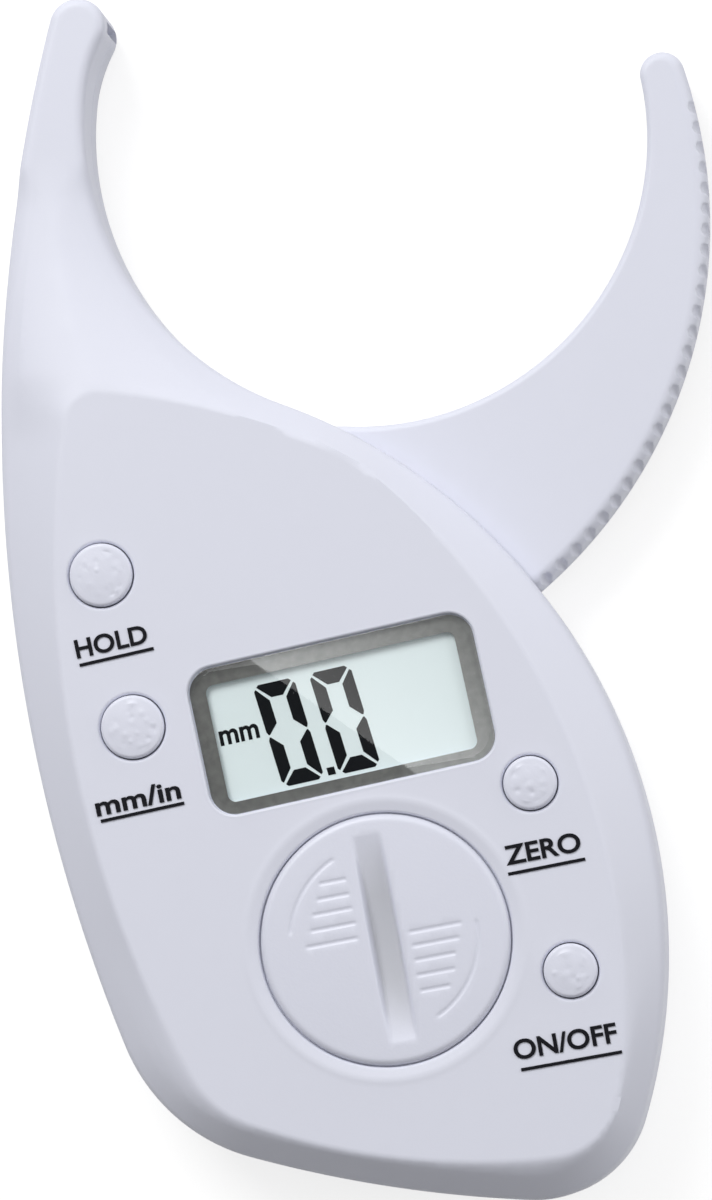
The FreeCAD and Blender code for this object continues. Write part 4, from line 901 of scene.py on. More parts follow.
# Profile of the battery well from the face down, each a radius and a height: rounded edge, seat of the cap,
# bayonet neck, undercut for its lugs, and the sleeve's outside back up to the ceiling.
WELL = [(19.0, FRONT), (17.9, FRONT), (16.3, 17.65), (16.25, 16.9), (16.12, 16.85), (16.12, 16.1),
        (13.6, 16.1), (13.6, 14.6), (14.7, 14.6), (14.7, 11.9), (17.5, 11.9), (17.5, CEILING)]
WELL_ROUNDS = [3.0, 0.6, 0.05, 0.02, 0.1, 0.2, 0.2, 0.1, 0.1, 0.1]
# Depth to which a post's root is sunk in its wall, the inset of the hollow from the raised face's outlines,
# and the least share of the rim's rounding, which the fixed jaw has.
ROOT, HOLLOW_INSET, ARM_ROUND = 0.3, 1.2, 0.5


def front_shell(caliper):
    """Front shell. Its wall rises from the parting line and turns over the rim, and the top is a height
    over the plan; inside, a flat roof has the raised face's hollow in it."""
    travel, slot = wall_columns()
    outer, normal = HOUSING.at(travel)
    inner, turnover = outer - normal * WALL, outer - normal * TURNOVER
    lean = top_lean(outer)
    rings = [lifted(inner, ROOF), lifted(inner, PARTING), lifted(outer, PARTING),
             lifted(outer, SHOULDER - RIM_DROP * lean), lifted(turnover, top_height(turnover))]
    rim_round = mm(caliper.shell.rim_round) * (ARM_ROUND + (1 - ARM_ROUND) * lean)
    rows = rounded_rings(rings, [0.1, 0.25, rim_round], rows=8, between=3)
    rows[:, slot, 2] = np.maximum(rows[:, slot, 2], JAW_TOP + JAW_GAP)
    shell = Shell()
    shell.strip(rows)
    hollow = Outline(HOLLOW_ARCS, inset=HOLLOW_INSET)
    hollow_foot = hollow.at(hollow.steps(0.8))[0]
    hollow_crest = Outline(CREST_ARCS, inset=HOLLOW_INSET).nearest(hollow_foot)[0]
    hollow_rows = np.array([lifted(hollow_crest, CEILING), lifted(hollow_foot, ROOF)])
    shell.strip(hollow_rows)
    shell.fill([rows[0], hollow_rows[1]], up=False)

    face_loops, ceiling_loops = [rows[-1]], [hollow_rows[0]]
    opening = [over_top(window_ring(*LEAD_SIZE, FRONT)), window_ring(*SEAT_SIZE, FRONT),
               window_ring(*SEAT_SIZE, SEAT_LEVEL), window_ring(*LEDGE_SIZE, SEAT_LEVEL),
               window_ring(*LEDGE_SIZE, CEILING)]
    shell.strip(rounded_rings(opening, [0.3, 0.05, 0.1], rows=5))
    face_loops.append(opening[0])
    ceiling_loops.append(opening[-1])
    for x, y, radius in BUTTONS.values():
        hole = radius + BUTTON_CLEARANCE
        rings = [over_top(circle((x, y), hole + LEAD_WIDTH, FRONT)), circle((x, y), hole, FRONT - LEAD_FALL),
                 circle((x, y), hole, CEILING)]
        shell.strip(rounded_rings(rings, [0.45], rows=6))
        face_loops.append(rings[0])
        ceiling_loops.append(rings[-1])
    rings = [circle(CAP_CENTRE, radius, height, CAP_COLUMNS) for radius, height in WELL]
    over_top(rings[0])
    shell.strip(rounded_rings(rings, WELL_ROUNDS, rows=6))
    face_loops.append(rings[0])
    ceiling_loops.append(rings[-1])
    shell.fill(face_loops, inside=top_grid(rows[-1], face_loops[1:]), height=top_height)
    shell.fill(ceiling_loops, up=False)
    screw_post = [(3.0, PARTING), (1.1, PARTING), (1.1, 9.6), (0.0, 9.6)]
    for centre in CASE_SCREWS[1:]:
        shell.post(centre, [(3.0, CEILING + ROOT)] + screw_post, [0.2, 0.2, 0.0], 32)
    for centre in STANDOFFS:
        standoff = [(2.2, CEILING + ROOT), (2.2, BOARD_TOP), (0.8, BOARD_TOP), (0.8, 14.8), (0.0, 14.8)]
        shell.post(centre, standoff, [0.2, 0.1, 0.0], 32)
    shell.post(CASE_SCREWS[0], [(3.0, ROOF + ROOT)] + screw_post, [0.2, 0.2, 0.0], 32)
    return shell.piece("front_shell", shell_plastic(caliper), "housing", "shell_plastic", ["front_cover"])


# A case screw: its bore in the posts and its counterbore, the head's radius, lower face and height, the
# radius of the head's flat, and its cross: half an arm's width, its reach and its depth.
BORE, COUNTERBORE, COUNTERBORE_TOP = 1.2, 2.3, 2.2
HEAD_RADIUS, HEAD_FACE, HEAD_FLAT = 2.2, 0.8, 1.75
CROSS_HALF, CROSS_REACH, CROSS_DEPTH = 0.28, 1.25, 0.9
# Post that holds the fixed leg of the jaw's spring, and how far the flat back and the flat inside of the back
# keep from the outline.
SPRING_POST, BACK_INSET, FLOOR_INSET = (9.25, -3.0), 3.2, 2.8


def rear_shell(caliper):
    """Rear shell: a flat back that turns up into the wall, hollow inside, with screw posts, the pivot boss
    and the post for the spring's leg."""
    travel, slot = wall_columns()
    outer, normal = HOUSING.at(travel)
    inner = outer - normal * WALL
    rings = [lifted(outer - normal * BACK_INSET, 0.0), lifted(outer, 0.0), lifted(outer, PARTING),
             lifted(inner, PARTING), lifted(inner, FLOOR_TOP),
             lifted(outer - normal * FLOOR_INSET, FLOOR_TOP)]
    rows = rounded_rings(rings, [mm(caliper.shell.back_round), 0.25, 0.1, 0.6], rows=8, between=2)
    rows[:, slot, 2] = np.minimum(rows[:, slot, 2], JAW_BOTTOM - JAW_GAP)
    shell = Shell()
    shell.strip(rows)
    back_loops, floor_loops = [rows[0]], [rows[-1]]
    post = [(3.0, FLOOR_TOP), (3.0, PARTING), (BORE, PARTING), (BORE, COUNTERBORE_TOP),
            (COUNTERBORE, COUNTERBORE_TOP), (COUNTERBORE, 0.0), (2.9, 0.0)]
    for centre in CASE_SCREWS:
        rings = [circle(centre, radius, height, 40) for radius, height in post]
        shell.strip(rounded_rings(rings, [0.2, 0.1, 0.05, 0.1, 0.25], rows=4))
        floor_loops.append(rings[0])
        back_loops.append(rings[-1])
    shell.fill(back_loops, up=False)
    shell.fill(floor_loops)
    shell.post((0.0, 0.0), [(4.2, FLOOR_TOP - ROOT), (4.2, 4.2), (2.0, 4.2), (2.0, 0.9), (0.0, 0.9)],
               [0.2, 0.1, 0.0])
    shell.post(SPRING_POST, [(1.2, FLOOR_TOP - ROOT), (1.2, 4.0), (0.0, 4.0)], [0.3], 24)
    return shell.piece("rear_shell", shell_plastic(caliper), "housing", "shell_plastic", ["rear_cover"])


def case_screw_set(caliper):
    """Pan-head screws with a cross recess. The head's face is a polar grid that sinks by the recess depth
    where a point lies in either arm of the cross."""
    shell = Shell()
    columns = 72
    radii = np.linspace(0.0, HEAD_FLAT, 22)
    profile = [(HEAD_FLAT, HEAD_FACE), (HEAD_RADIUS, HEAD_FACE), (HEAD_RADIUS, COUNTERBORE_TOP),
               (1.1, COUNTERBORE_TOP), (1.1, 9.0), (0.0, 9.6)]
    for centre in CASE_SCREWS:
        face = np.array([circle((0.0, 0.0), radius, HEAD_FACE, columns) for radius in radii])
        x, y = np.abs(face[..., 0]), np.abs(face[..., 1])
        in_arm = smooth(CROSS_HALF + 0.1, CROSS_HALF - 0.1, np.minimum(x, y))
        in_reach = smooth(CROSS_REACH, CROSS_REACH - 0.55, np.maximum(x, y))
        face[..., 2] += CROSS_DEPTH * in_arm * in_reach
        rings = [circle((0.0, 0.0), radius, height, columns) for radius, height in profile]
        rows = np.concatenate([face[:-1], rounded_rings(rings, [0.4, 0.1, 0.1, 0.2], rows=4)])
        rows[..., :2] += np.array(centre)
        shell.strip(rows)
    return shell.piece("case_screw_set", drawn_steel(caliper), "housing", "steel", ["case_screws"])


# ---------------------------------------------------------------------------------------------------------
# Swinging jaw
# ---------------------------------------------------------------------------------------------------------
# Arcs of the jaw's outline, by number.
TIP_ARC, GAP_ARC, THUMB_ARC = 0, 1, 3
# Height at which the notches start, and the rounding where a notch meets the edge.
NOTCH_FOOT, NOTCH_EASE = 3.6, 0.06
# The jaw is open at its back: thickness of its wall, level of its ceiling, and the rounding of its upper edge
# round the tip and the hub and along the measuring gap.
JAW_WALL, JAW_CEILING, JAW_ROUND, GAP_ROUND = 2.0, 7.8, 1.6, 0.9
# Ribs across the jaw's hollow: how many, half their thickness, and the levels between which they stand.
RIBS, RIB_HALF, RIB_FOOT, RIB_TOP = 5, 0.75, JAW_BOTTOM + 0.3, 8.0


def notch_depth(jaw, travel, heights):
    """Depth of the thumb edge's notches. Each is a cone on an upright axis on the edge, and its depth is
    the root of its squared radius less the squared distance along the edge, eased at its rim."""
    start, length = JAW.starts[THUMB_ARC], JAW.lengths[THUMB_ARC]
    angle = JAW.first[THUMB_ARC] + JAW.spans[THUMB_ARC] * (travel - start) / length
    first, pitch = jaw.first_notch, jaw.notch_pitch
    nearest = np.clip(np.round((first - angle) / pitch), 0, jaw.notch_count - 1)
    lateral = (first - nearest * pitch - angle) * JAW.radii[THUMB_ARC]
    low, high = mm(jaw.notch_low_radius), mm(jaw.notch_top_radius)
    radius = low + (high - low) * np.clip((heights - NOTCH_FOOT) / (JAW_TOP - NOTCH_FOOT), 0.0, 1.0)
    depth = np.sqrt(np.maximum(radius ** 2 - lateral[None, :] ** 2, 0.0) + NOTCH_EASE ** 2) - NOTCH_EASE
    on_edge = (travel >= start) & (travel < start + length)
    return np.where(on_edge[None, :] & (heights > NOTCH_FOOT - 0.5), depth, 0.0)


def jaw_ribs(shell):
    """Ribs on rays from the centre of the jaw's gap edge, spread evenly between hub and tip. Each ends
    where its ray meets the thumb edge's inner face, by the chord's formula for a circle."""
    centre = JAW.centres[GAP_ARC]
    hub_angle = math.atan2(-centre[1], -centre[0])
    tip_angle = math.atan2(*(JAW.centres[TIP_ARC] - centre)[::-1])
    offset = centre - JAW.centres[THUMB_ARC]
    for k in range(RIBS):
        turn = hub_angle + wrapped(tip_angle - hub_angle) * (k + 1.4) / (RIBS + 1.6)
        out = np.array([math.cos(turn), math.sin(turn)])
        along = offset @ out
        far = -along + math.sqrt(along ** 2 - offset @ offset + (THUMB_EDGE_RADIUS - 1.0) ** 2)
        side = np.array([-out[1], out[0]]) * RIB_HALF
        ends = [centre + out * (GAP_EDGE_RADIUS + 1.0), centre + out * far]
        corners = [ends[0] - side, ends[1] - side, ends[1] + side, ends[0] + side]
        shell.bar(corners, RIB_FOOT, RIB_TOP)


def swing_jaw(caliper):
    """Crescent jaw with a notched thumb edge: where a notch is deeper than the wall's own inset from the
    outline, the wall moves in to the notch. A ring of wall stands round the hub."""
    start, length = JAW.starts[THUMB_ARC], JAW.lengths[THUMB_ARC]
    columns = 640
    base = JAW.steps(0.6)
    base = base[(base < start) | (base >= start + length)]
    travel = np.sort(np.concatenate([base, start + length * np.arange(columns) / columns]))
    plan, normal = JAW.at(travel)
    rings = [lifted(plan - normal * JAW_WALL, JAW_CEILING), lifted(plan - normal * JAW_WALL, JAW_BOTTOM),
             lifted(plan, JAW_BOTTOM), lifted(plan, JAW_TOP), lifted(plan - normal * 2.6, JAW_TOP)]
    ends = [*JAW.starts[:4], start + length]
    top_round = np.interp(travel, ends, [JAW_ROUND, GAP_ROUND, GAP_ROUND, JAW_ROUND, JAW_ROUND])
    rows = rounded_rings(rings, [0.2, 0.5, top_round], rows=9, between=12)
    inset = np.sum((plan[None] - rows[..., :2]) * normal[None], axis=-1)
    depth = notch_depth(caliper.jaw, travel, rows[..., 2])
    outside = inset < JAW_WALL - 0.05
    moved = np.where(outside & (depth > 0.0), softer_max(inset, depth, 0.15), inset)
    rows[..., :2] -= (moved - inset)[..., None] * normal[None]
    shell = Shell()
    shell.strip(rows)
    hub = [(4.4, JAW_TOP), (4.4, 9.0), (3.0, 9.0), (3.0, 4.7), (5.2, 4.7), (5.2, JAW_CEILING)]
    rings = [circle((0.0, 0.0), radius, height, 64) for radius, height in hub]
    shell.strip(rounded_rings(rings, [0.1, 0.1, 0.1, 0.1], rows=3))
    shell.fill([rows[-1], rings[0]])
    shell.fill([rows[0], rings[-1]], up=False)
    shell.lathe((0.0, 0.0), [(16.0, RIB_TOP), (15.0, RIB_TOP), (15.0, JAW_BOTTOM), (16.0, JAW_BOTTOM)],
                [0.0, 0.1, 0.1, 0.0], 96, 3, closed=True)
    jaw_ribs(shell)
    return shell.piece("swing_jaw", shell_plastic(caliper), "jaw", "shell_plastic", ["moving_jaw"])


# ---------------------------------------------------------------------------------------------------------
# Battery cap and push buttons
# ---------------------------------------------------------------------------------------------------------
def trough(shell, length, width, floor, depth, to_plan, ends=None, columns=48, rows=17):
    """A trough sunk in the level front: its depth times a profile along it times a flat-bottomed profile
    across it. The profile along is a parabola that comes up to the face at both ends, or flat with ramps of
    the given length. Returns its edge as a loop."""
    along = np.linspace(-length / 2, length / 2, columns)
    across = np.linspace(-width / 2, width / 2, rows)
    if ends is None:
        lengthwise = 1.0 - (2 * along / length) ** 2
    else:
        lengthwise = smooth(length / 2, length / 2 - ends, np.abs(along))
    crosswise = smooth(width / 2, floor / 2, np.abs(across))
    x, y = np.meshgrid(along, across)
    plan = to_plan(np.column_stack([x.ravel(), y.ravel()]))
    grid = lifted(plan, 0.0).reshape(rows, columns, 3)
    grid[..., 2] = FRONT - depth * crosswise[:, None] * lengthwise[None, :]
    shell.strip(grid, closed=False)
    return np.concatenate([grid[0, :-1], grid[:-1, -1], grid[-1, :0:-1], grid[:0:-1, 0]])


def on_cap(points):
    """Takes points in the cap's own turned frame to the plan."""
    return turned(points, CAP_TILT) + np.asarray(CAP_CENTRE)


def straight(centre, tilt):
    """Takes points on a straight trough of the cap to the plan, by its centre and tilt."""
    return lambda points: on_cap(turned(points, tilt) + np.asarray(centre))


def curved(radius, middle):
    """Takes points on a curved trough of the cap to the plan: the way along becomes an angle about the
    middle."""
    def to_plan(points):
        angle = math.radians(middle) + points[:, 0] / radius
        reach = (radius - points[:, 1])[:, None]
        return on_cap(np.column_stack([np.cos(angle), np.sin(angle)]) * reach)
    return to_plan


# Finger grooves in the cap's frame: straight ones by their two ends and their height, curved ones by their
# radius and their two angles in degrees.
GRIP_LINES = [(-7.3, -3.3, 8.5), (-7.95, -3.25, 6.55), (-8.85, -3.2, 4.7), (-9.5, -3.1, 2.75),
              (-10.4, -3.2, 0.8), (2.95, 10.2, 0.3), (3.05, 9.6, -1.5), (3.0, 8.8, -3.35), (2.9, 8.35, -5.3),
              (3.0, 7.4, -7.3)]
GRIP_ARCS = [(12.2, 111.0, 168.0), (11.9, -68.0, 3.0)]
# Profile of the cap from the middle of its plug outwards and up, each a radius and a height. It seats just
# above the well's own seat.
CAP_SEAT, FACE_RADIUS = 16.13, 14.9
CAP_PROFILE = [(0.0, 16.1), (11.8, 16.1), (11.8, 13.6), (13.4, 13.6), (13.4, CAP_SEAT),
               (CAP_RADIUS, CAP_SEAT), (CAP_RADIUS, FRONT), (FACE_RADIUS, FRONT)]


def battery_lid(caliper):
    """Battery cap: a low crown with a coin slot on a curved floor and finger grooves on both sides of it."""
    control = caliper.control
    shell = Shell()
    rings = [circle(CAP_CENTRE, radius, height, CAP_COLUMNS) for radius, height in CAP_PROFILE]
    rows = rounded_rings(rings, [0.1, 0.1, 0.1, 0.1, 0.1, 1.1], rows=8)
    shell.strip(rows)
    loops = [rows[-1]]
    slot_width, slot_depth = mm(control.slot_width), mm(control.slot_depth)
    loops.append(trough(shell, mm(control.slot_length), slot_width, slot_width * 0.6, slot_depth,
                        straight((0.0, 0.2), 90.0), columns=96, rows=25))
    groove_width, groove_floor, groove_depth = mm(control.groove_width), 0.1, mm(control.groove_depth)
    for left, right, y in GRIP_LINES:
        loops.append(trough(shell, right - left, groove_width, groove_floor, groove_depth,
                            straight(((left + right) / 2, y), 0.0), ends=0.5, columns=36, rows=9))
    for radius, low, high in GRIP_ARCS:
        length = math.radians(high - low) * radius
        loops.append(trough(shell, length, groove_width, groove_floor, groove_depth,
                            curved(radius, (low + high) / 2), ends=0.8, columns=72, rows=9))
    pitch = np.arange(-15.0, 15.01, 0.75)
    x, y = np.meshgrid(pitch, pitch)
    inside = np.column_stack([x.ravel(), y.ravel()])
    inside = inside[np.hypot(*inside.T) < FACE_RADIUS - 0.3] + np.asarray(CAP_CENTRE)
    for loop in loops[1:]:
        inside = inside[~within(inside, loop)]
        gap = np.min(np.linalg.norm(inside[:, None] - loop[None, :, :2], axis=-1), axis=1)
        inside = inside[gap > 0.2]
    shell.fill(loops, inside=inside)
    for points in shell.points:
        reach = np.hypot(points[:, 0] - CAP_CENTRE[0], points[:, 1] - CAP_CENTRE[1]) / CAP_RADIUS
        rise = mm(control.crown) * np.maximum(1 - reach ** 2, 0.0)
        points[:, 2] += np.where(points[:, 2] > CAP_SEAT + 0.02, rise, 0.0)
    return shell.piece("battery_lid", control_plastic(caliper), "cap", "control_plastic", ["battery_cap"],
                       sharp=50.0)


# Stem and flange of a push button: the stem's radius and lower end, how far the flange stands out, and its
# lower face.
STEM_RADIUS, STEM_FOOT, FLANGE, FLANGE_FOOT = 1.6, 14.6, 0.5, 15.5
# Its top: heights of the rolled edge and of the dome's foot inside it, the edge's width, the dome's rise and
# the height that no pebble passes.
EDGE_HEIGHT, DOME_FOOT, EDGE_WIDTH, DOME_RISE, BUTTON_LIMIT = 18.36, 18.42, 0.9, 0.2, 18.69
# Pebbles on a button with a radius of two millimetres, which grow with its square, and the share of the
# radius over which they are scattered.
PEBBLES, PEBBLE_REACH = 9, 0.82


def push_button(caliper, name, seed):
    """Push button: a low dome with a rolled edge and a pebbled middle, on its flange and stem. The dome is a
    parabola of revolution, and the pebbles are a sum of bell-shaped humps and hollows at scattered places."""
    x, y, radius = BUTTONS[name]
    columns = 120
    reach = radius - EDGE_WIDTH
    profile = [(0.0, STEM_FOOT), (STEM_RADIUS, STEM_FOOT), (STEM_RADIUS, FLANGE_FOOT),
               (radius + FLANGE, FLANGE_FOOT), (radius + FLANGE, CEILING), (radius, CEILING),
               (radius, EDGE_HEIGHT), (reach, DOME_FOOT)]
    rings = [circle((0.0, 0.0), r, z, columns) for r, z in profile]
    rows = rounded_rings(rings, [0.1, 0.1, 0.1, 0.1, 0.05, 0.5], rows=6)
    radii = reach * np.linspace(1, 0, 30)[1:]
    dome = np.array([circle((0.0, 0.0), r, DOME_FOOT, columns) for r in radii])
    dome[..., 2] += DOME_RISE * (1 - (radii / reach)[:, None] ** 2)
    scatter = np.random.default_rng(seed)
    count = int(PEBBLES * radius ** 2 / 4)
    spots = scatter.uniform(-PEBBLE_REACH * radius, PEBBLE_REACH * radius, (count, 2))
    sizes = scatter.uniform(0.28, 0.55, count)
    heights = scatter.uniform(-1.1, 1.0, count) * mm(caliper.control.pebble_height)
    for spot, size, height in zip(spots, sizes, heights):
        away = np.hypot(dome[..., 0] - spot[0], dome[..., 1] - spot[1])
        dome[..., 2] += height * np.exp(-(away / size) ** 2)
    dome[..., 2] = np.minimum(dome[..., 2], BUTTON_LIMIT)
    dome[-1] = dome[-1].mean(axis=0)
    rows = np.concatenate([rows, dome])
    rows[..., :2] += (x, y)
    shell = Shell()
    shell.strip(rows)
    return shell.piece(name + "_key", control_plastic(caliper), name, "control_plastic", [name + "_button"],
                       sharp=60.0)


# ---------------------------------------------------------------------------------------------------------
# Display
# ---------------------------------------------------------------------------------------------------------
# Width, height and corner radius of the pane and of the part of its faces inside the edge's rounding, and its
# underside, which lies just over the printed border.
PANE_SIZE, PANE_FACE, PANE_FOOT = (37.6, 19.3, 3.3), (35.6, 17.3, 2.3), 16.84
# The border's outer size and its levels, the corner radius of the clear part and its shift off the pane's
# middle.
BORDER_SIZE, BORDER_FOOT, BORDER_TOP = (37.5, 19.2, 3.25), 16.80, 16.83
VIEW_CORNER, VIEW_SHIFT = 1.05, (-0.15, -0.3)


def window_pane():
    """Clear pane with a softened upper edge."""
    rings = [window_ring(*PANE_FACE, PANE_FOOT), window_ring(*PANE_SIZE, PANE_FOOT),
             window_ring(*PANE_SIZE, FRONT), window_ring(*PANE_FACE, FRONT)]
    rows = rounded_rings(rings, [0.1, 0.35], rows=6)
    shell = Shell()
    shell.strip(rows)
    shell.cap(rows[0], up=False)
    shell.cap(rows[-1])
    material = ready("window_glass", window_glass)
    pane = shell.piece("window_pane", material, "housing", "window", ["display_lens"])
    pane.visible_shadow = False


def window_border(caliper):
    """Printed border: a thin frame between the pane's edge and the clear part."""
    view = mm(caliper.display.view_width), mm(caliper.display.view_height), VIEW_CORNER
    rings = [window_ring(*BORDER_SIZE, BORDER_FOOT), window_ring(*BORDER_SIZE, BORDER_TOP),
             window_ring(*view, BORDER_TOP, VIEW_SHIFT), window_ring(*view, BORDER_FOOT, VIEW_SHIFT),
             window_ring(*BORDER_SIZE, BORDER_FOOT)]
    shell = Shell()
    shell.strip(np.array(rings))
    material = printed_film("border_print", caliper.display.border, 0.5, 900.0, 0.5, coat=1.0)
    shell.piece("window_border", material, "housing", "window", weld=0.0005)


# Widths of a digit's level and upright segments, the levels of all that the display shows, the places of
# its two noughts and of its point in the window's frame, and half the point's side.
BAR, POST = 1.9, 1.65
SHOWN_FOOT, SHOWN_TOP = 16.11, 16.13
NOUGHTS, NOUGHT_DROP, POINT, POINT_HALF = (-7.3, 0.15), -0.65, (-2.95, -6.75), 0.5
# Place and size of the unit at the left of the digits.
UNIT_PLACE, UNIT_SIZE = (-13.6, 0.45), (5.2, 1.95)


def digit_segments(w, h):
    """Outlines of the six segments that make a nought of a width and height, in the digit's own upright
    frame."""
    top = [(0.45, h - 0.3), (POST + 0.32, h - BAR), (w - POST - 0.32, h - BAR), (w - 0.45, h - 0.3),
           (w - 0.75, h), (0.75, h)]
    upper_left = [(0.0, h / 2 + 0.6), (0.2, h / 2 + 0.13), (0.4, h / 2 + 0.2), (POST, h / 2 + 1.5),
                  (POST, h - BAR - 0.35), (0.25, h - 0.55), (0.0, h - 0.8)]
    segments = [top, upper_left]
    segments.append([(w - x, y) for x, y in reversed(upper_left)])
    for segment in list(segments):
        segments.append([(x, h - y) for x, y in reversed(segment)])
    return segments


def segment_film():
    """Finish of the display's dark segments."""
    return ready("display_segment", printed_film, (0.006, 0.007, 0.009), 0.5, 6000.0, 0.1)


def display_digits(caliper):
    """Reading 0.0: two leaning noughts with a square point between them."""
    lean = math.tan(caliper.display.digit_lean)
    width, height = mm(caliper.display.digit_width), mm(caliper.display.digit_height)
    shapes = [(np.array(segment) - (width / 2, height / 2), (place, NOUGHT_DROP))
              for place in NOUGHTS for segment in digit_segments(width, height)]
    shapes.append((np.array([(-1, -1), (1, -1), (1, 1), (-1, 1)]) * POINT_HALF, POINT))
    shell = Shell()
    for plan, place in shapes:
        plan[:, 0] -= plan[:, 1] * lean
        shell.bar(turned(plan + place, WINDOW_TILT) + WINDOW_CENTRE, SHOWN_FOOT, SHOWN_TOP)
    shell.piece("display_digits", segment_film(), "housing", "dark_plastic", weld=0.0005)


def letters(text, width, height, thickness, weight):
    """Points and faces of a word, centred on the origin and scaled to a width and height in millimetres."""
    curve = bpy.data.curves.new("word", "FONT")
    curve.body = text
    curve.extrude = 0.5
    curve.offset = weight
    curve.resolution_u = 6
    holder = bpy.data.objects.new("word", curve)
    bpy.context.scene.collection.objects.link(holder)
    bpy.context.view_layer.update()
    mesh = bpy.data.meshes.new_from_object(holder.evaluated_get(bpy.context.evaluated_depsgraph_get()))
    points = np.zeros(len(mesh.vertices) * 3)
    mesh.vertices.foreach_get("co", points)
    points = points.reshape(-1, 3)
    faces = [list(polygon.vertices) for polygon in mesh.polygons]
    bpy.data.objects.remove(holder)
    bpy.data.curves.remove(curve)
    bpy.data.meshes.remove(mesh)
    low, high = points.min(axis=0), points.max(axis=0)
    points = (points - (low + high) / 2) / (high - low) * (width, height, thickness)
    return points, faces


# Each label's word, its centre, its tilt in degrees, its width and height, and the two ends of its rule.
LABELS = {
    "hold_label": ("hold_word", (-28.74, -11.64), 12.4, 9.5, 2.5, ((-32.82, -14.70), (-23.18, -12.58))),
    "unit_label": ("unit_word", (-25.21, -31.85), 12.05, 11.2, 2.6, ((-29.97, -34.85), (-19.15, -32.54))),
    "zero_label": ("zero_word", (26.97, -38.6), 11.0, 9.8, 2.55, ((22.57, -41.85), (32.41, -39.94))),
    "power_label": ("power_word", (29.76, -63.1), 10.13, 13.3, 2.6, ((24.17, -66.71), (37.0, -64.42))),
}
# Thickness of the ink and how far its underside stands clear of the face, and how much the letters are
# thickened on the front and on the display, as a share of their size.
INK, INK_CLEAR = 0.02, 0.003
LABEL_WEIGHT, UNIT_WEIGHT = 0.022, 0.024


def label(caliper, name):
    """A printed word over its rule."""
    word, centre, tilt, width, height, (start, end) = LABELS[name]
    shell = Shell()
    points, faces = letters(getattr(caliper.lettering, word), width, height, INK, LABEL_WEIGHT)
    plan = turned(points[:, :2], tilt) + centre
    shell.add(np.column_stack([plan, points[:, 2] + FRONT + INK / 2 + INK_CLEAR]), faces)
    a, b = np.array(start), np.array(end)
    side = unit(np.array([[a[1] - b[1], b[0] - a[0]]]))[0] * mm(caliper.lettering.rule_width) / 2
    shell.bar([a - side, b - side, b + side, a + side], FRONT + INK_CLEAR, FRONT + INK_CLEAR + INK)
    ink = ready("printed_ink", printed_film, caliper.lettering.ink, 0.6, 2600.0, 0.15)
    shell.piece(name, ink, "housing", "dark_plastic", weld=0.0002, sharp=30.0)


def display_unit(caliper):
    """The unit at the left of the display."""
    points, faces = letters(caliper.display.unit_word, *UNIT_SIZE, INK, UNIT_WEIGHT)
    plan = turned(points[:, :2] + UNIT_PLACE, WINDOW_TILT) + WINDOW_CENTRE
    shell = Shell()
    shell.add(np.column_stack([plan, points[:, 2] + (SHOWN_FOOT + SHOWN_TOP) / 2]), faces)
    shell.piece("display_unit", segment_film(), "housing", "dark_plastic", weld=0.0002, sharp=30.0)


# ---------------------------------------------------------------------------------------------------------
# Stage
# ---------------------------------------------------------------------------------------------------------
# The floor: half its side and its level in metres, just under the rear face, and its glow.
FLOOR_HALF, FLOOR_LEVEL, FLOOR_GLOW = 4.0, -0.0001, 0.75
# The camera: the point that it looks at and a pixel's width there, in metres, the picture's width in
# pixels, how far it leans to the right and down, in degrees, and its sensor's width in millimetres.
VIEW_TARGET = Vector((0.00221, -0.00585, 0.010))
PIXEL, IMAGE_WIDTH = 0.00013, 712
LEAN_RIGHT, LEAN_DOWN, SENSOR_WIDTH = 6.0, 5.0, 36.0
# The lamps: the sides of both and the point that they face, and their places, in metres.
LAMP_SIZE, LAMP_TARGET = 0.5, (0.0, -0.01, 0.01)
KEY_PLACE, FILL_PLACE = (-0.36, 0.54, 0.64), (0.66, 0.12, 0.26)
# The surround: the direction in which it grows brighter, and its mean strength as a share.
SURROUND_LEAN, SURROUND_SHARE = (-0.05, 0.85, 0.55), 0.62
# The card: the two ends of its line's reflection on the face, in millimetres, its height, how far it
# reaches past those ends and to either side of the line, in metres, the strength of its glow at the line,
# and the share of it that is gone at the edge.
CARD_LINE = ((-10.3, -14.4), (11.2, -29.2))
CARD_HEIGHT, CARD_REACH, CARD_DEPTH = 0.45, 0.03, 0.04
CARD_GLOW, CARD_FADE = 3.2, 1.0


def stage_floor(colour):
    """A pale floor that keeps the shadow, with a glow that only the eye, mirrors and clear parts see, so
    that it looks white and adds no light."""
    f = Finish("floor_white", base_color=(*colour, 1.0), roughness=0.9, specular_ior_level=0.0,
               emission_strength=1.0)
    path = f.node("ShaderNodeLightPath", {}, {}, output="Is Camera Ray")
    seen = path.larger(path.output("Is Glossy Ray")).larger(path.output("Is Transmission Ray"))
    f.feed("Emission Color", f.mix(seen, (0.0, 0.0, 0.0), (FLOOR_GLOW,) * 3))
    corners = [(-1, -1), (1, -1), (1, 1), (-1, 1)]
    mesh = bpy.data.meshes.new("floor")
    mesh.from_pydata([(x * FLOOR_HALF, y * FLOOR_HALF, FLOOR_LEVEL) for x, y in corners], [], [(0, 1, 2, 3)])
    mesh.materials.append(f.material)
    floor = bpy.data.objects.new("floor", mesh)
    bpy.context.scene.collection.objects.link(floor)


def lamp(name, place, power):
    """A square soft lamp that faces the caliper."""
    data = bpy.data.lights.new(name, "AREA")
    data.size = LAMP_SIZE
    data.energy = power
    item = bpy.data.objects.new(name, data)
    bpy.context.scene.collection.objects.link(item)
    item.location = place
    item.rotation_euler = (Vector(LAMP_TARGET) - Vector(place)).to_track_quat("-Z", "Y").to_euler()


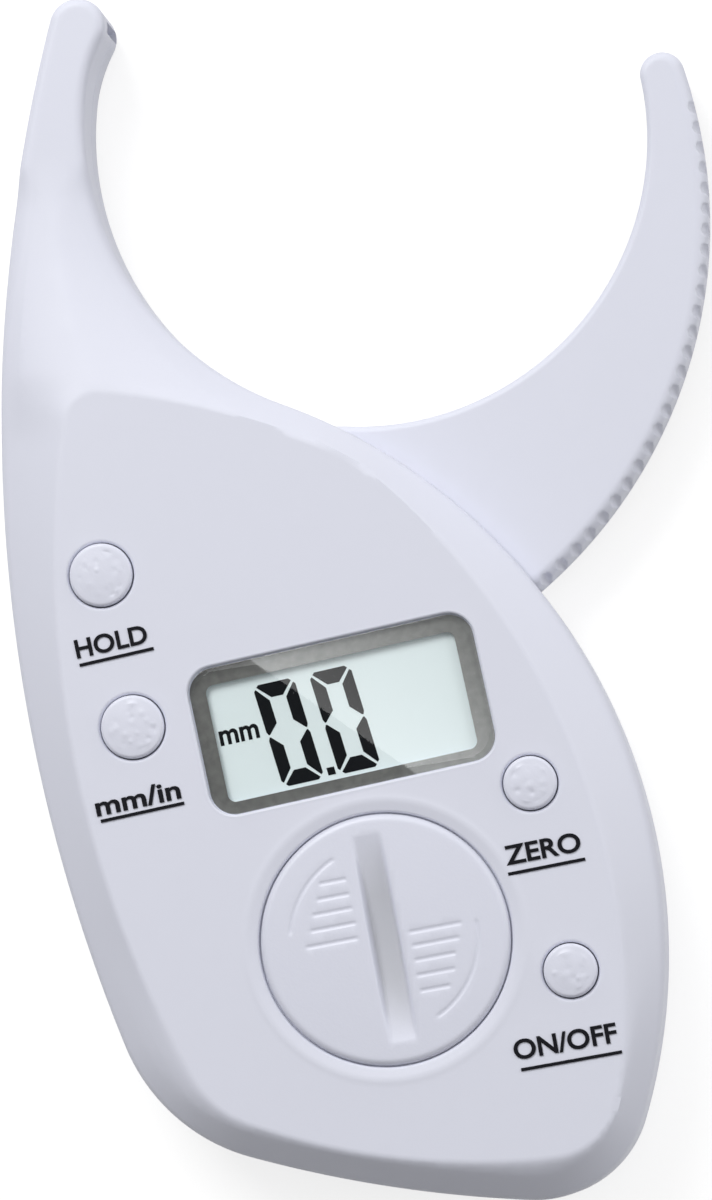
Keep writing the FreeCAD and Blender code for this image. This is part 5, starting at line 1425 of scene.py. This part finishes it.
def stage_camera(distance):
    """A camera over the front face that leans a little to the right and down, with a lens that fits the
    distance. Returns its place."""
    side, down = math.sin(math.radians(LEAN_RIGHT)), math.sin(math.radians(LEAN_DOWN))
    back = Vector((side, -down, math.sqrt(1 - side * side - down * down)))
    right = Vector((0.0, 1.0, 0.0)).cross(back).normalized()
    up = back.cross(right)
    data = bpy.data.cameras.new("camera")
    data.sensor_fit = "HORIZONTAL"
    data.sensor_width = SENSOR_WIDTH
    data.lens = data.sensor_width * distance / PIXEL / IMAGE_WIDTH
    item = bpy.data.objects.new("camera", data)
    bpy.context.scene.collection.objects.link(item)
    turn = Matrix((right, up, back)).transposed().to_4x4()
    item.matrix_world = Matrix.Translation(VIEW_TARGET + back * distance) @ turn
    bpy.context.scene.camera = item
    return VIEW_TARGET + back * distance


def stage_card(eye):
    """A small card over the caliper that only mirrors see. Its dark half and its glowing half meet on a
    line whose reflection crosses the display window; the glow fades in proportion to the distance from that
    line."""
    share = (CARD_HEIGHT - FRONT * MM) / (eye.z - FRONT * MM)
    ends = []
    for x, y in CARD_LINE:
        point = Vector((x * MM, y * MM))
        ends.append(point + (point - eye.xy) * share)
    along = (ends[1] - ends[0]).normalized()
    across = Vector((-along.y, along.x))
    start, stop, half = ends[0] - along * CARD_REACH, ends[1] + along * CARD_REACH, across * CARD_DEPTH
    corners = [start - half, stop - half, stop + half, start + half]
    mesh = bpy.data.meshes.new("card")
    mesh.from_pydata([(c.x, c.y, CARD_HEIGHT) for c in corners], [], [(3, 2, 1, 0)])
    f = Finish("card_glow")
    f.tree.nodes.remove(f.shader)
    way = f.node("ShaderNodeVectorMath", {"operation": "DOT_PRODUCT"},
                 {0: f.where, 1: (across.x, across.y, 0.0)}, output="Value") - ends[0].dot(across)
    fade = (way * (-CARD_FADE / CARD_DEPTH) + 1.0) * CARD_GLOW
    glow = f.node("ShaderNodeEmission", {}, {"Strength": fade * way.above(0.0)})
    f.connect(glow, f.tree.nodes["Material Output"].inputs["Surface"])
    mesh.materials.append(f.material)
    card = bpy.data.objects.new("card", mesh)
    bpy.context.scene.collection.objects.link(card)
    card.visible_camera = card.visible_diffuse = card.visible_shadow = card.visible_transmission = False


def stage_world(level):
    """A soft white surround that grows brighter in one direction and is white to the eye."""
    scene = bpy.context.scene
    scene.view_settings.view_transform = "Standard"
    scene.world = bpy.data.worlds.new("surround")
    scene.world.use_nodes = True
    n = Nodes(scene.world.node_tree)
    where = n.node("ShaderNodeTexCoord", {}, {})
    way = n.node("ShaderNodeVectorMath", {"operation": "DOT_PRODUCT"}, {0: where, 1: SURROUND_LEAN},
                 output="Value")
    strength = (way * SURROUND_SHARE + SURROUND_SHARE) * level
    seen = n.node("ShaderNodeLightPath", {}, {}, output="Is Camera Ray")
    background = n.tree.nodes["Background"]
    n.connect(strength * (1.0 - seen) + seen, background.inputs["Strength"])
    n.connect((1.0, 1.0, 1.0, 1.0), background.inputs["Color"])


def paint(material, *nodes):
    """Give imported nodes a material."""
    for node in nodes:
        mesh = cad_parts[node].data
        mesh.materials.clear()
        mesh.materials.append(material)


# ---------------------------------------------------------------------------------------------------------
# Operators and panel
# ---------------------------------------------------------------------------------------------------------
class CALIPER_OT_stage(bpy.types.Operator):
    """Set up the camera, the floor and a plain soft light"""
    bl_idname = "caliper.stage"
    bl_label = "Stage"

    def execute(self, context):
        stage = context.scene.caliper.stage
        eye = stage_camera(stage.camera_distance)
        stage_card(eye)
        stage_floor(stage.floor)
        stage_world(stage.surround)
        lamp("key_lamp", KEY_PLACE, stage.key_power)
        lamp("fill_lamp", FILL_PLACE, stage.fill_power)
        return {"FINISHED"}


class CALIPER_OT_front_shell(bpy.types.Operator):
    """Build the front shell with its fixed jaw, window seat, button holes and battery well"""
    bl_idname = "caliper.front_shell"
    bl_label = "Front Shell"

    def execute(self, context):
        front_shell(context.scene.caliper)
        return {"FINISHED"}


class CALIPER_OT_rear_shell(bpy.types.Operator):
    """Build the rear shell with its screw posts and pivot boss"""
    bl_idname = "caliper.rear_shell"
    bl_label = "Rear Shell"

    def execute(self, context):
        rear_shell(context.scene.caliper)
        return {"FINISHED"}


class CALIPER_OT_case_screws(bpy.types.Operator):
    """Build the four cross-recessed screws that hold the shells together"""
    bl_idname = "caliper.case_screws"
    bl_label = "Case Screws"

    def execute(self, context):
        case_screw_set(context.scene.caliper)
        return {"FINISHED"}


class CALIPER_OT_swing_jaw(bpy.types.Operator):
    """Build the swinging jaw with its notched thumb edge"""
    bl_idname = "caliper.swing_jaw"
    bl_label = "Swinging Jaw"

    def execute(self, context):
        swing_jaw(context.scene.caliper)
        return {"FINISHED"}


class CALIPER_OT_battery_lid(bpy.types.Operator):
    """Build the battery cap with its coin slot and finger grooves"""
    bl_idname = "caliper.battery_lid"
    bl_label = "Battery Cap"

    def execute(self, context):
        battery_lid(context.scene.caliper)
        return {"FINISHED"}


class CALIPER_OT_push_buttons(bpy.types.Operator):
    """Build the four pebbled push buttons"""
    bl_idname = "caliper.push_buttons"
    bl_label = "Push Buttons"

    def execute(self, context):
        for seed, name in enumerate(BUTTONS, start=3):
            push_button(context.scene.caliper, name, seed)
        return {"FINISHED"}


class CALIPER_OT_window(bpy.types.Operator):
    """Build the display's clear pane and its printed border"""
    bl_idname = "caliper.window"
    bl_label = "Window"

    def execute(self, context):
        window_pane()
        window_border(context.scene.caliper)
        return {"FINISHED"}


class CALIPER_OT_reading(bpy.types.Operator):
    """Build the digits and the unit that the display shows"""
    bl_idname = "caliper.reading"
    bl_label = "Reading"

    def execute(self, context):
        display_digits(context.scene.caliper)
        display_unit(context.scene.caliper)
        return {"FINISHED"}


class CALIPER_OT_labels(bpy.types.Operator):
    """Print the words and their rules beside the push buttons"""
    bl_idname = "caliper.labels"
    bl_label = "Printed Words"

    def execute(self, context):
        for name in LABELS:
            label(context.scene.caliper, name)
        return {"FINISHED"}


class CALIPER_OT_inside(bpy.types.Operator):
    """Finish the display, board, switches, battery contacts, cell, pivot and spring"""
    bl_idname = "caliper.inside"
    bl_label = "Inside Parts"

    def execute(self, context):
        caliper = context.scene.caliper
        inside = caliper.inside
        paint(display_reflector("display_ground", caliper.display.ground), "lcd_panel")
        paint(moulded("inner_moulding", inside.moulding, 0.5), "lcd_frame", "battery_holder", "jaw_bush",
              "thrust_washer", "hold_plunger", "unit_plunger", "zero_plunger", "power_plunger")
        paint(moulded("chip_resin", inside.chip, 0.45), "controller_chip", "capacitors", "switch_housings")
        paint(moulded("contact_rubber", inside.rubber, 0.7), "zebra_strips")
        paint(solder_mask("solder_mask", inside.board), "circuit_board")
        paint(sensor_film("sensor_film", inside.copper), "sensor_rotor")
        paint(drawn_steel(caliper), "pivot_axle", "retaining_clip", "return_spring", "board_screws",
              "crystal", "positive_contact", "negative_contact")
        paint(turned_metal("cell_steel", tinted(inside.steel, 1.07), 0.28, CAP_CENTRE), "coin_cell")
        return {"FINISHED"}


OPERATORS = (CALIPER_OT_stage, CALIPER_OT_front_shell, CALIPER_OT_rear_shell, CALIPER_OT_case_screws,
             CALIPER_OT_swing_jaw, CALIPER_OT_battery_lid, CALIPER_OT_push_buttons, CALIPER_OT_window,
             CALIPER_OT_reading, CALIPER_OT_labels, CALIPER_OT_inside)
GROUPS = (ShellSettings, JawSettings, ControlSettings, DisplaySettings, LetteringSettings, InsideSettings,
          StageSettings, CaliperSettings)


class CALIPER_PT_build(bpy.types.Panel):
    """Lists the caliper's pieces with the sizes and colours behind them"""
    bl_idname = "CALIPER_PT_build"
    bl_label = "Skinfold Caliper"
    bl_space_type = "VIEW_3D"
    bl_region_type = "UI"
    bl_category = "Caliper"

    def draw(self, context):
        for operator in OPERATORS:
            self.layout.operator(operator.bl_idname)
        caliper = context.scene.caliper
        for name in CaliperSettings.__annotations__:
            group = getattr(caliper, name)
            box = self.layout.box()
            box.label(text=CaliperSettings.bl_rna.properties[name].name)
            for size in type(group).__annotations__:
                box.prop(group, size)


def register():
    for cls in GROUPS + OPERATORS + (CALIPER_PT_build,):
        bpy.utils.register_class(cls)
    bpy.types.Scene.caliper = PointerProperty(type=CaliperSettings, name="Caliper",
                                              description="Sizes and colours of the skinfold caliper")


def unregister():
    del bpy.types.Scene.caliper
    for cls in reversed(GROUPS + OPERATORS + (CALIPER_PT_build,)):
        bpy.utils.unregister_class(cls)


def main():
    """Build the caliper piece by piece."""
    register()
    for operator in OPERATORS:
        group, name = operator.bl_idname.split(".")
        getattr(getattr(bpy.ops, group), name)()


if __name__ == "__main__":
    main()
